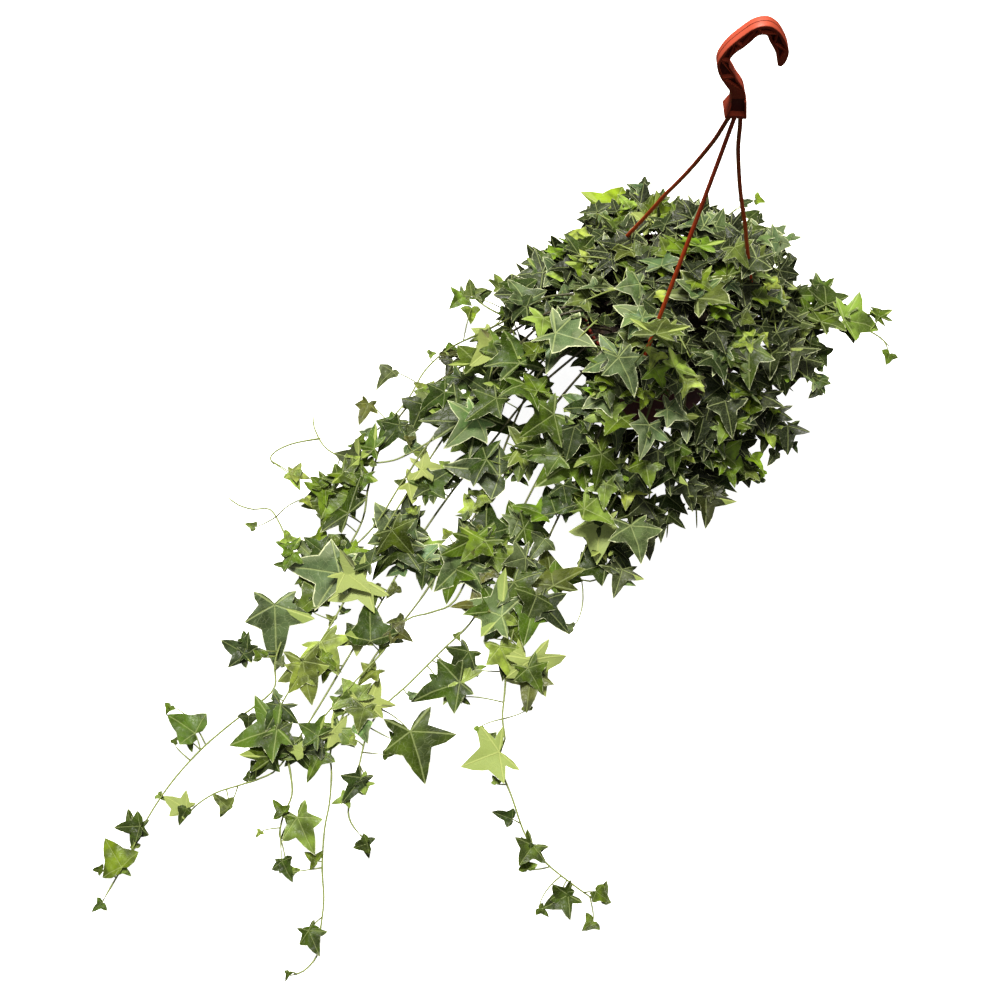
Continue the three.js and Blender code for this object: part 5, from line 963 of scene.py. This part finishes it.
def canopy(stems):
    leaves = []
    outStep, roundStep = dome["evenSteps"]
    for i in range(dome["leaves"]):
        seed = seeds["canopy"] + i
        share = math.sqrt((0.5 + i * outStep) % 1)
        angle = 360 * ((0.5 + i * roundStep) % 1)
        radius = growth["crownRadius"] * share * (1 + spread(seed, 3, dome["scatter"]))
        depth = dome["depth"] * draw(seed, 6) if i % 2 else 0
        height = crownSurface(share, math.radians(angle - growth["highSide"]))
        base = polar(radius, angle, height - depth - dome["sink"] + spread(seed, 7, dome["lift"]))
        heading = angle + spread(seed, 8, dome["heading"])
        turn = math.radians(heading - angle)
        tilt = -dome["droop"] * share ** 2 * math.cos(turn) + spread(seed, 4, dome["tilt"])
        roll = dome["lean"] * share ** 2 * math.sin(turn) + spread(seed, 5, dome["roll"])
        length = between(seed, 9, *dome["length"])
        tone = pickTone(seed, True, length)
        leaf = placedLeaf(seed, base, heading, length, tilt, roll, draw(seed, 13), tone)
        leaves.append(attach(leaf, stems))
    return leaves


def allLeaves(stems):
    leaves = chosenLeaves(stems)
    for i, stem in enumerate(stems):
        if stem["node"].startswith("ivy_trail"):
            leaves += leavesAlong(stem, i, fill["spacing"], fill["length"])
        if stem["node"].startswith("ivy_skirt"):
            leaves.append(endLeaf(stem, i))
            leaves += leavesAlong(stem, i, fill["skirtSpacing"], fill["skirtLength"])
    return [leaf for leaf in leaves + canopy(stems) if leaf["seed"] not in bare]


# Leaf blades: half outlines from the notch at the petiole to the tip, one that the finish is painted on, one
# with close and one with wide lobes

blade = {
    "five": [
        [(-0.02, 0), (-0.09, 0.07), (-0.17, 0.2), (-0.21, 0.31), (-0.1, 0.275), (0.01, 0.215), (0.12, 0.31),
         (0.24, 0.44), (0.33, 0.53), (0.365, 0.37), (0.385, 0.19), (0.5, 0.175), (0.68, 0.13),
         (0.86, 0.058), (1, 0)],
        [(-0.02, 0), (-0.11, 0.08), (-0.2, 0.2), (-0.22, 0.33), (-0.1, 0.31), (0, 0.265), (0.11, 0.35),
         (0.24, 0.46), (0.34, 0.54), (0.385, 0.4), (0.405, 0.235), (0.5, 0.215), (0.69, 0.16),
         (0.87, 0.075), (1, 0)],
        [(-0.02, 0), (-0.14, 0.12), (-0.28, 0.36), (-0.34, 0.61), (-0.17, 0.53), (-0.02, 0.39),
         (0.03, 0.55), (0.09, 0.73), (0.17, 0.88), (0.29, 0.62), (0.365, 0.31), (0.48, 0.265), (0.68, 0.19),
         (0.86, 0.085), (1, 0)],
    ],
    "three": [
        [(-0.02, 0), (-0.05, 0.1), (0.05, 0.3), (0.2, 0.45), (0.33, 0.53), (0.365, 0.37), (0.385, 0.19),
         (0.52, 0.17), (0.72, 0.12), (0.88, 0.053), (1, 0)],
        [(-0.02, 0), (-0.1, 0.1), (-0.08, 0.28), (0.03, 0.4), (0.12, 0.47), (0.24, 0.37), (0.37, 0.23),
         (0.52, 0.21), (0.72, 0.15), (0.88, 0.068), (1, 0)],
        [(-0.02, 0), (-0.15, 0.14), (-0.16, 0.38), (-0.06, 0.58), (0.05, 0.7), (0.19, 0.53), (0.355, 0.3),
         (0.5, 0.25), (0.7, 0.175), (0.88, 0.075), (1, 0)],
    ],
    "ring": 0.56, "thickness": 0.45, "ringLift": 0.02, "wave": 0.045, "waves": 3.2, "uneven": 0.07,
    "bays": 4.3, "curl": 0.4, "tipCurl": 0.5, "tipStart": 0.4, "twist": 0.38, "widthSpread": 0.12,
    "leanSpread": 0.1, "basalSpread": 0.25,
}


def bladeSheet(half):  # two fans joined at the rim, the upper one with a ring between heart and rim
    outline = [(x, -y) for x, y in half[1:-1]] + [half[-1]] + half[-2:0:-1] + [half[0]]
    bm = bmesh.new()
    rim = bm.verts.layers.float.new("rim")
    corners = [bm.verts.new((x, y, 0)) for x, y in outline]
    for corner in corners:
        corner[rim] = 1
    for order, material in ((corners, 1), (corners[::-1], 2)):
        face = bm.faces.new(order)
        face.material_index = material
        heart = bmesh.ops.poke(bm, faces=[face])["verts"][0]
        heart.co = (0, 0, 1 - material)
        heart[rim] = 0
    upper = next(vert for vert in bm.verts if vert[rim] == 0 and vert.co.z == 0)
    made = bmesh.ops.subdivide_edges(bm, edges=list(upper.link_edges), cuts=1)["geom_inner"]
    for vert in made:
        if isinstance(vert, bmesh.types.BMVert):
            vert.co *= blade["ring"] * 2
            vert[rim] = blade["ring"]
    return bm


def bladeTemplate(name):
    painted, close, wide = [bladeSheet(half) for half in blade[name]]
    leafUv = close.loops.layers.uv.new("leaf")
    close.verts.layers.float.new("age")
    places = [vert.co.xy for vert in painted.verts]
    for face in close.faces:
        face.smooth = True
        for loop in face.loops:
            loop[leafUv].uv = places[loop.vert.index]
    for edge in close.edges:
        edge.smooth = len({face.material_index for face in edge.link_faces}) == 1
    mesh = bpy.data.meshes.new("blade_" + name)
    close.to_mesh(mesh)
    return mesh, [vert.co.copy() for vert in wide.verts]


blades = {name: bladeTemplate(name) for name in ("five", "three")}
print("leaf shapes made:", {name: len(mesh.polygons) for name, (mesh, _) in blades.items()})


def crownDepth(place):  # 0 at the crown's surface, 1 deep in its shade
    share = place.xy.length / growth["crownRadius"]
    surface = crownSurface(share, math.atan2(place.y, place.x) - math.radians(growth["highSide"]))
    return min(1, max(0, (surface - 3 - place.z) / 15)) if share < 1.15 else 0


# Painted light and shade on crown leaves: each tone's light in the crown, dimmer fill leaves in the canopy,
# and painted shade that grows with depth below the crown's surface
def leafTint(leaf):
    seed = leaf["seed"]
    red, green, blue, _ = tint(tones[leaf["tone"]][0])
    light = 1 + spread(seed, 21, foliage["lightSpread"])
    if not leaf["stem"]["node"].startswith("ivy_trail"):
        light *= tones[leaf["tone"]][5] * (foliage["paintedCanopyLight"] if seed >= seeds["canopy"] else 1)
    light = min(light, foliage["mostLight"] / green) * (1 - foliage["paintedCrownShade"] * crownDepth(leaf["base"]))
    red *= light * (1 + spread(seed, 22, foliage["redSpread"]))
    blue *= light * (1 + spread(seed, 23, foliage["blueSpread"]))
    return red, green * light, blue, 1


def addBlade(bm, leaf):
    seed, length = leaf["seed"], leaf["length"]
    fiveLobed = length > growth["youngLeaf"] and draw(seed, 24) < 0.85
    mesh, wide = blades["five" if fiveLobed else "three"]
    firstVert, firstFace = len(bm.verts), len(bm.faces)
    bm.from_mesh(mesh)
    bm.verts.ensure_lookup_table()
    bm.faces.ensure_lookup_table()
    colourLayer = bm.verts.layers.float_color["leafColour"]
    habitLayer = bm.verts.layers.float_vector["leafHabit"]
    rim = bm.verts.layers.float["rim"]
    _, cream, contrast = tones[leaf["tone"]][:3]
    habit = (cream * between(seed, 25, 0.75, 0.5), seed * 0.37 % 40, contrast)
    shade = leafTint(leaf)
    width, lean = 1 + spread(seed, 26, blade["widthSpread"]), spread(seed, 27, blade["leanSpread"])
    basal = 1 + spread(seed, 28, blade["basalSpread"])
    curl, twist = spread(seed, 41, blade["curl"]) - 0.1, spread(seed, 43, blade["twist"])
    tipCurl = blade["tipCurl"] * (draw(seed, 42) - 0.25)
    for vert, other in zip(bm.verts[firstVert:], wide):
        x, y, below = vert.co.lerp(other, leaf["star"])
        out = vert[rim]
        vert[colourLayer] = shade
        vert[habitLayer] = habit
        angle = math.atan2(y, x)
        lift = math.sin(blade["waves"] * angle + 6.3 * draw(seed, 29)) * blade["wave"] * out ** 2
        lift += curl * y * y + twist * x * y - tipCurl * max(0, x - blade["tipStart"]) ** 2
        lift += blade["ringLift"] if 0 < out < 1 else 0
        uneven = 1 + blade["uneven"] * out * math.sin(blade["bays"] * angle + 6.3 * draw(seed, 44))
        x, y = (x * basal if x < 0 else x) * uneven, y * width * uneven * (1 + lean * (1 if y > 0 else -1))
        vert.co = bladePlace(leaf, x, y, length * lift + below * blade["thickness"])
        vert.co.z = max(vert.co.z, 0.3 + (1 + below) * blade["thickness"])
    if leaf["tone"] == "pale":  # this leaf shows its underside
        for face in bm.faces[firstFace:]:
            face.material_index = 3 - face.material_index


petiole = {"rows": 6, "sides": 5, "thick": 0.62, "taper": 0.04, "sink": 0.3, "overlap": 0.8}
petioleTube = straightTube(petiole["rows"], petiole["sides"])


def addPetiole(bm, leaf, everywhere):
    start = nearest(leaf["root"], [place for line in leaf["stem"]["fine"] for place in line])
    if (start - leaf["base"]).length > growth["longPetiole"]:  # a nearer stem carries it
        start = nearest(leaf["base"], everywhere)
    run = start - leaf["base"]
    back = -0.2 if run.length > growth["longPetiole"] else -0.08
    middle = leaf["base"] + run * 0.4 + leaf["direction"] * (back * run.length)
    neck = leaf["base"] - leaf["normal"] * petiole["sink"]
    last = petiole["rows"]
    places = []
    for i in range(last):
        t = i / last
        places.append(start * (1 - t) ** 2 + middle * (2 * t * (1 - t)) + neck * t ** 2)
    places.append(neck + leaf["direction"] * petiole["overlap"])
    sizes = [petiole["thick"] - petiole["taper"] * i for i in range(last + 1)]
    tone = between(leaf["seed"], 30, 0.1, 0.5)
    bendTube(bm, petioleTube, places, sizes, [tone * (1 - i / (last + 1)) for i in range(last + 1)])


stemShape = {"sides": 7, "old": (1.1, 0.8), "twig": (0.9, 0.3), "thin": 0.65, "end": 0.3, "swelling": 0.18}


def addStem(bm, line, thick, old):
    last = len(line) - 1
    sizes = [thick + (stemShape["thin"] - thick) * i / last for i in range(last + 1)]
    for i, place in enumerate(line):  # a slight swelling here and there along the stem, where the noise is high
        sizes[i] *= 1 + stemShape["swelling"] * max(0, noise.noise(place * 0.09))
    sizes[-1] = stemShape["end"]
    ages = [old * (1 - i / last) for i in range(last + 1)]
    bendTube(bm, straightTube(last, stemShape["sides"]), line, sizes, ages)


def buildIvy():
    stems = allStems()
    leaves = allLeaves(stems)
    everywhere = [place for stem in stems for line in stem["fine"] for place in line]
    for stem in stems:
        bm = bmesh.new()
        bm.verts.layers.float.new("age")
        bm.verts.layers.float.new("rim")
        bm.verts.layers.float_color.new("leafColour")
        bm.verts.layers.float_vector.new("leafHabit")
        bm.loops.layers.uv.new("leaf")
        for i, line in enumerate(stem["fine"]):
            addStem(bm, line, *stemShape["twig" if i else "old"])
        for leaf in leaves:
            if leaf["stem"] is stem:
                addPetiole(bm, leaf, everywhere)
                addBlade(bm, leaf)
        finishPiece(stem["node"] + "_leafy", bm, ivyMaterials, [stem["node"]])
    print("ivy made:", len(stems), "stems,", len(leaves), "leaves")


buildIvy()


# Pot

pot = {
    "rim": 75, "height": 115, "foot": 52, "wall": 1.8, "floor": 2.4, "band": 18, "step": 3.4,
    "rimWall": 2.2, "steps": 96,
}


def buildPot():
    rim, height, foot, wall = pot["rim"], pot["height"], pot["foot"], pot["wall"]
    bandBottom = height - pot["band"]
    wallTop = rim - pot["step"]
    inner = rim - pot["rimWall"]
    profile = [
        (0, 0.8), (foot - 5, 0.8), (foot - 3.5, 0), (foot, 0), (foot + 0.8, 0.5), (foot + 1.3, 2),
        (wallTop, bandBottom - 0.4), (wallTop + 0.5, bandBottom), (rim - 1.2, bandBottom),
        (rim - 0.7, bandBottom + 0.5), (rim - 0.2, height - 3.4), (rim, height - 2.6), (rim, height - 0.8),
        (rim - 0.7, height), (inner + 0.5, height), (inner, height - 0.6), (inner - 0.3, bandBottom + 3),
        (wallTop - wall, bandBottom - 1), (foot - wall + 1, pot["floor"] + 2),
        (foot - wall - 2, pot["floor"]), (0, pot["floor"])]
    bm = turned(profile, pot["steps"])
    smoothFaces(bm, 32)
    finishPiece("pot_shell", bm, [potPlastic], ["hanging_pot"])


buildPot()
print("pot made")


# Hanger: the hook stands in an upright plane that is turned about Z, and the straps reach down to the rim

hanger = {
    "outer": [
        (-6.5, 0), (-8.5, 13.4), (-10.4, 19.2), (-15.3, 25.4), (-20, 31.5), (-23.7, 39), (-24.3, 43.8),
        (-23.6, 48.6), (-21.1, 55.5), (-17.4, 61.6), (-12.6, 67.9), (-9, 71.8), (-4.4, 74.2), (0.7, 74.5),
        (5.5, 72.1), (9.9, 68.1), (15.2, 60.9), (18.5, 54.4), (18.9, 48.3), (18.3, 44.8), (17, 42.8)],
    "inner": [
        (5.1, 0), (3.6, 6.7), (0.6, 16.9), (-2.9, 23.9), (-8.5, 30.8), (-12.7, 36.9), (-16.3, 41.5),
        (-16.9, 47), (-14.9, 51.8), (-11.3, 56), (-7.7, 61.2), (-5.7, 64.9), (-3.6, 66.8), (0.6, 66.8),
        (3.7, 62.3), (9, 55.2), (12, 49.6), (13.2, 46.2), (14.3, 43.4)],
    "panel": [(-7, 2.4), (3.6, 2.4), (2.6, 7), (0, 14.5), (-7.6, 14)],
    "footPlace": (-2.3, 6.5, 0.8), "footRadii": (10.9, 6.6), "footHeight": 13, "base": 340, "turn": 20,
    "depth": 9, "flange": 1.5, "rib": 0.7, "round": 0.7, "panelDepth": 0.9, "partingWidth": 0.7,
    "partingDepth": 0.3, "pockets": 11, "pocketDepth": 3.2, "firstPocket": 0.2, "pocketShare": 0.76,
    "strap": [
        (3, 339.7), (3.5, 334), (5.6, 325), (9.5, 305), (15, 285), (22, 262), (29.5, 240), (37.5, 218),
        (45, 195), (55, 165), (65.5, 135), (73.6, 116.6)],
    "angles": {"left": 145, "middle": 265, "right": 25}, "radius": 1.6, "strapSides": 12,
    "clipWidth": 9, "clipThickness": 1.6, "clipBottom": 104, "clipRound": 0.4, "clipGap": (0.6, 0.3),
}


def flatCurve(points):
    return stemCurve([Vector((x, y, 0)) for x, y in points], 1.6)


def plate(outline, low, high):
    bm = bmesh.new()
    face = bm.faces.new([bm.verts.new((place[0], place[1], low)) for place in outline])
    made = bmesh.ops.extrude_face_region(bm, geom=[face])["geom"]
    lifted = [item for item in made if isinstance(item, bmesh.types.BMVert)]
    bmesh.ops.translate(bm, vec=(0, 0, high - low), verts=lifted)
    bmesh.ops.recalc_face_normals(bm, faces=bm.faces)
    return bm


def roundEdges(bm, edges, size, steps):
    bmesh.ops.bevel(bm, geom=edges, offset=size, offset_type="OFFSET", segments=steps, profile=0.5,
                    affect="EDGES", material=-1)


def combine(bm, other, operation):
    parts = []
    for shape in (bm, other):
        mesh = bpy.data.meshes.new("part")
        shape.to_mesh(mesh)
        shape.free()
        parts.append(bpy.data.objects.new("part", mesh))
        bpy.context.scene.collection.objects.link(parts[-1])
    modifier = parts[0].modifiers.new("combine", "BOOLEAN")
    modifier.operation, modifier.solver, modifier.object = operation, "EXACT", parts[1]
    modifier.use_self = True
    made = bmesh.new()
    made.from_object(parts[0], bpy.context.evaluated_depsgraph_get())
    for part in parts:
        bpy.data.objects.remove(part)
    return made


def gather(bm, other):
    mesh = bpy.data.meshes.new("part")
    other.to_mesh(mesh)
    other.free()
    bm.from_mesh(mesh)


def along(line, share):
    lengths = [(end - start).length for start, end in zip(line, line[1:])]
    left = share * sum(lengths)
    for start, end, length in zip(line, line[1:], lengths):
        if left <= length:
            return start.lerp(end, left / length)
        left -= length
    return line[-1]


def pocketOutline(outer, inner, i):  # a triangle between two ribs, its long side along a flange
    def corner(k, outside):
        share = hanger["firstPocket"] + hanger["pocketShare"] * k / (hanger["pockets"] + 1)
        a, b = along(outer, share), along(inner, share)
        near, far = (a, b) if outside else (b, a)
        return near.lerp(far, hanger["flange"] / (a - b).length)
    odd = i % 2 == 1
    corners = [corner(i + k / 3, odd) for k in range(7)] + [corner(i + 1, not odd)]
    middle = sum((corners[0], corners[6], corners[7]), Vector()) / 3
    return [middle.lerp(place, 1 - hanger["rib"] / (place - middle).length) for place in corners]


def hookBar(outer, inner, half):
    tip = (outer[-1] + inner[-1]) / 2 + Vector((0, -0.6, 0))
    bm = plate([*outer, tip, *inner[::-1]], -half, half)
    level = [edge for edge in bm.edges if abs(edge.verts[0].co.z - edge.verts[1].co.z) < 0.1]
    roundEdges(bm, level, hanger["round"], 3)
    wide = hanger["partingWidth"] / 2
    for depth in (-wide, 0.0, wide):
        bmesh.ops.bisect_plane(bm, geom=[*bm.verts, *bm.edges, *bm.faces], plane_co=(0, 0, depth),
                               plane_no=(0, 0, 1))
    bm.normal_update()
    for vert in bm.verts:  # the parting line of the mould
        if abs(vert.co.z) < 0.01:
            vert.co -= vert.normal * hanger["partingDepth"]
    return bm


def hookFoot():
    bm = bmesh.new()
    upright = Matrix.Rotation(-math.pi / 2, 4, "X") @ Matrix.Rotation(math.pi / 4, 4, "Z")
    low, high = hanger["footRadii"]
    place = Matrix.Translation(hanger["footPlace"]) @ upright
    bmesh.ops.create_cone(bm, cap_ends=True, segments=4, radius1=low, radius2=high,
                          depth=hanger["footHeight"], matrix=place)
    roundEdges(bm, list(bm.edges), hanger["round"], 2)
    return bm


def buildHook():
    half = hanger["depth"] / 2
    outer, inner = flatCurve(hanger["outer"]), flatCurve(hanger["inner"])
    bm = combine(hookBar(outer, inner, half), hookFoot(), "UNION")
    cutters = plate(hanger["panel"], half - hanger["panelDepth"], half + 6)
    floor = half - hanger["pocketDepth"]
    for i in range(hanger["pockets"]):
        outline = pocketOutline(outer, inner, i)
        for low, high in ((floor, half + 1), (-half - 1, -floor)):
            gather(cutters, plate(outline, low, high))
    bm = combine(bm, cutters, "DIFFERENCE")
    # Recess floors get the painted shade of material 1, front and back faces and the parting groove the
    # painted shade of material 2
    for face in bm.faces:
        depth, upright = abs(face.calc_center_median().z), abs(face.normal.z) > 0.9
        if upright and depth < half - 0.3:
            face.material_index = 1
        elif upright or depth < hanger["partingWidth"] / 2:
            face.material_index = 2
    turn = Matrix.Rotation(math.radians(hanger["turn"]), 4, "Z") @ Matrix.Translation((0, 0, hanger["base"]))
    bmesh.ops.transform(bm, matrix=turn @ Matrix.Rotation(math.pi / 2, 4, "X"), verts=bm.verts)
    smoothFaces(bm, 35)
    materials = [hangerPlastic, webPlastic, frontShadePlastic]
    finishPiece("hook", bm, materials, ["hanger_hook"])


def buildStrap(side, angle):
    places = stemCurve([polar(radius, angle, z) for radius, z in hanger["strap"]], 4)
    bm = bmesh.new()
    bm.verts.layers.float.new("age")
    count = len(places)
    tube = straightTube(count - 1, hanger["strapSides"])
    bendTube(bm, tube, places, [hanger["radius"]] * count, [0] * count)
    innerGap, gap = hanger["clipGap"]
    inside, outside = pot["rim"] - pot["rimWall"] - innerGap, pot["rim"] + gap
    thick, low, top = hanger["clipThickness"], hanger["clipBottom"], pot["height"] + gap
    outline = [
        (inside - thick, low), (inside, low), (inside, top), (outside, top), (outside, low),
        (outside + thick, low), (outside + thick, top + thick), (inside - thick, top + thick)]
    clip = plate(outline, -hanger["clipWidth"] / 2, hanger["clipWidth"] / 2)
    roundEdges(clip, list(clip.edges), hanger["clipRound"], 2)
    turn = Matrix.Rotation(math.radians(angle), 4, "Z") @ Matrix.Rotation(math.pi / 2, 4, "X")
    bmesh.ops.transform(clip, matrix=turn, verts=clip.verts)
    gather(bm, clip)
    smoothFaces(bm, 35)
    finishPiece("strap_" + side, bm, [strapPlastic], ["hanger_strap_" + side])


buildHook()
for side, angle in hanger["angles"].items():
    buildStrap(side, angle)
print("hanger made")


# Soil

soil = {
    "dark": "#120c08", "middle": "#2e2118", "light": "#5a4432", "damp": "#20160f", "rings": 14, "steps": 64,
    "crumb": 2.2, "gap": 0.1,
}


def paintSoil(base):
    place = base.node("TexCoord", {}, {}, 3)
    crumbs = place.cloud(260.0, 5.0)
    patches = place.cloud(40.0, 2.0)
    stops = [(0.3, tint(soil["dark"])), (0.55, tint(soil["middle"])), (0.78, tint(soil["light"]))]
    shade = base.node("ValToRGB", {"stops": stops}, {0: crumbs})
    shade = (patches.rise(0.5, 0.8) * 0.4).mix(shade, tint(soil["damp"]))
    return {"Base Color": shade, "Roughness": 0.95, "Normal": bump(base, crumbs, 0.002, 0.9)}


def buildSoil():
    edge = pot["rim"] - pot["step"] - pot["wall"] - soil["gap"]
    shares = [i / soil["rings"] for i in range(soil["rings"] + 1)]
    bottom = pot["floor"] + 0.4
    profile = [(edge * i / soil["rings"], growth["soilEdge"] + growth["soilMound"] * (1 - share ** 2))
               for i, share in enumerate(shares)]
    profile += [(pot["foot"] - pot["wall"] - 1, bottom), (0, bottom)]
    bm = turned(profile, soil["steps"])
    for vert in bm.verts:
        if vert.co.z > growth["soilEdge"] - 1:
            height = noise.noise(vert.co * 0.12) + 0.6 * noise.noise(vert.co * 0.4)
            vert.co.z += soil["crumb"] * height - 0.5
    smoothFaces(bm, 60)
    soilMatter = newMaterial("pottingMix", paintSoil)
    finishPiece("soil_surface", bm, [soilMatter], ["soil"])


buildSoil()
print("soil made")


# Room

room = {
    "floor": 8.0, "floorDrop": 0.0006, "floorColour": "#f6f6f4", "floorShade": "#ecebe8", "floorGlow": 0.92,
    "zenith": 0.5, "horizon": 0.14, "below": 0.04, "skyColour": (1, 0.99, 0.95, 1),
    "key": {"place": (-0.7, 0.35, 2.2), "size": 0.65, "power": 94.0},
    "fill": {"place": (1.2, -1.2, 1.6), "size": 1.2, "power": 3.0}, "lampColour": (1, 0.98, 0.9),
}


def paintFloor(base):
    place = base.node("TexCoord", {}, {}, 3)
    shade = (place.cloud(30.0, 3.0) * 0.1).mix(tint(room["floorColour"]), tint(room["floorShade"]))
    return {"Base Color": shade, "Roughness": 0.9}


def areaLight(name):
    place = Vector(room[name]["place"])
    lamp = bpy.data.lights.new(name, "AREA")
    lamp.color = room["lampColour"]
    lamp.shape, lamp.size, lamp.energy = "DISK", room[name]["size"], room[name]["power"]
    light = bpy.data.objects.new(name, lamp)
    light.matrix_world = Matrix.Translation(place) @ (-place).to_track_quat("-Z", "Y").to_matrix().to_4x4()
    bpy.context.scene.collection.objects.link(light)


def buildRoom():
    bm = bmesh.new()
    bmesh.ops.create_grid(bm, x_segments=4, y_segments=4, size=room["floor"] / 2,
                          matrix=Matrix.Translation((0, 0, -room["floorDrop"])))
    mesh = bpy.data.meshes.new("floor")
    bm.to_mesh(mesh)
    bm.free()
    floor = bpy.data.objects.new("floor", mesh)
    bpy.context.scene.collection.objects.link(floor)
    glow = {"Emission Color": (1, 1, 1, 1), "Emission Strength": room["floorGlow"]}
    mesh.materials.append(newMaterial("paleFloor", paintFloor, **glow))
    floor.visible_diffuse = floor.visible_glossy = False  # no light goes up from it into the leaves
    world = bpy.data.worlds.new("sky")
    world.use_nodes = True
    world.node_tree.nodes.clear()
    base = Socket(world.node_tree)
    height = base.node("TexCoord", {}, {}, 0).axes()[2]
    low = height.rise(-0.1, 0.05)
    strength = low * (room["horizon"] - room["below"]) + room["below"]
    strength = strength + height.rise(0.0, 1.0) * (room["zenith"] - room["horizon"])
    sky = base.node("Background", {}, {"Color": room["skyColour"], "Strength": strength})
    base.node("OutputWorld", {}, {"Surface": sky})
    bpy.context.scene.world = world
    areaLight("key")
    areaLight("fill")
    bpy.context.scene.view_settings.view_transform = "Standard"


buildRoom()
print("room made")
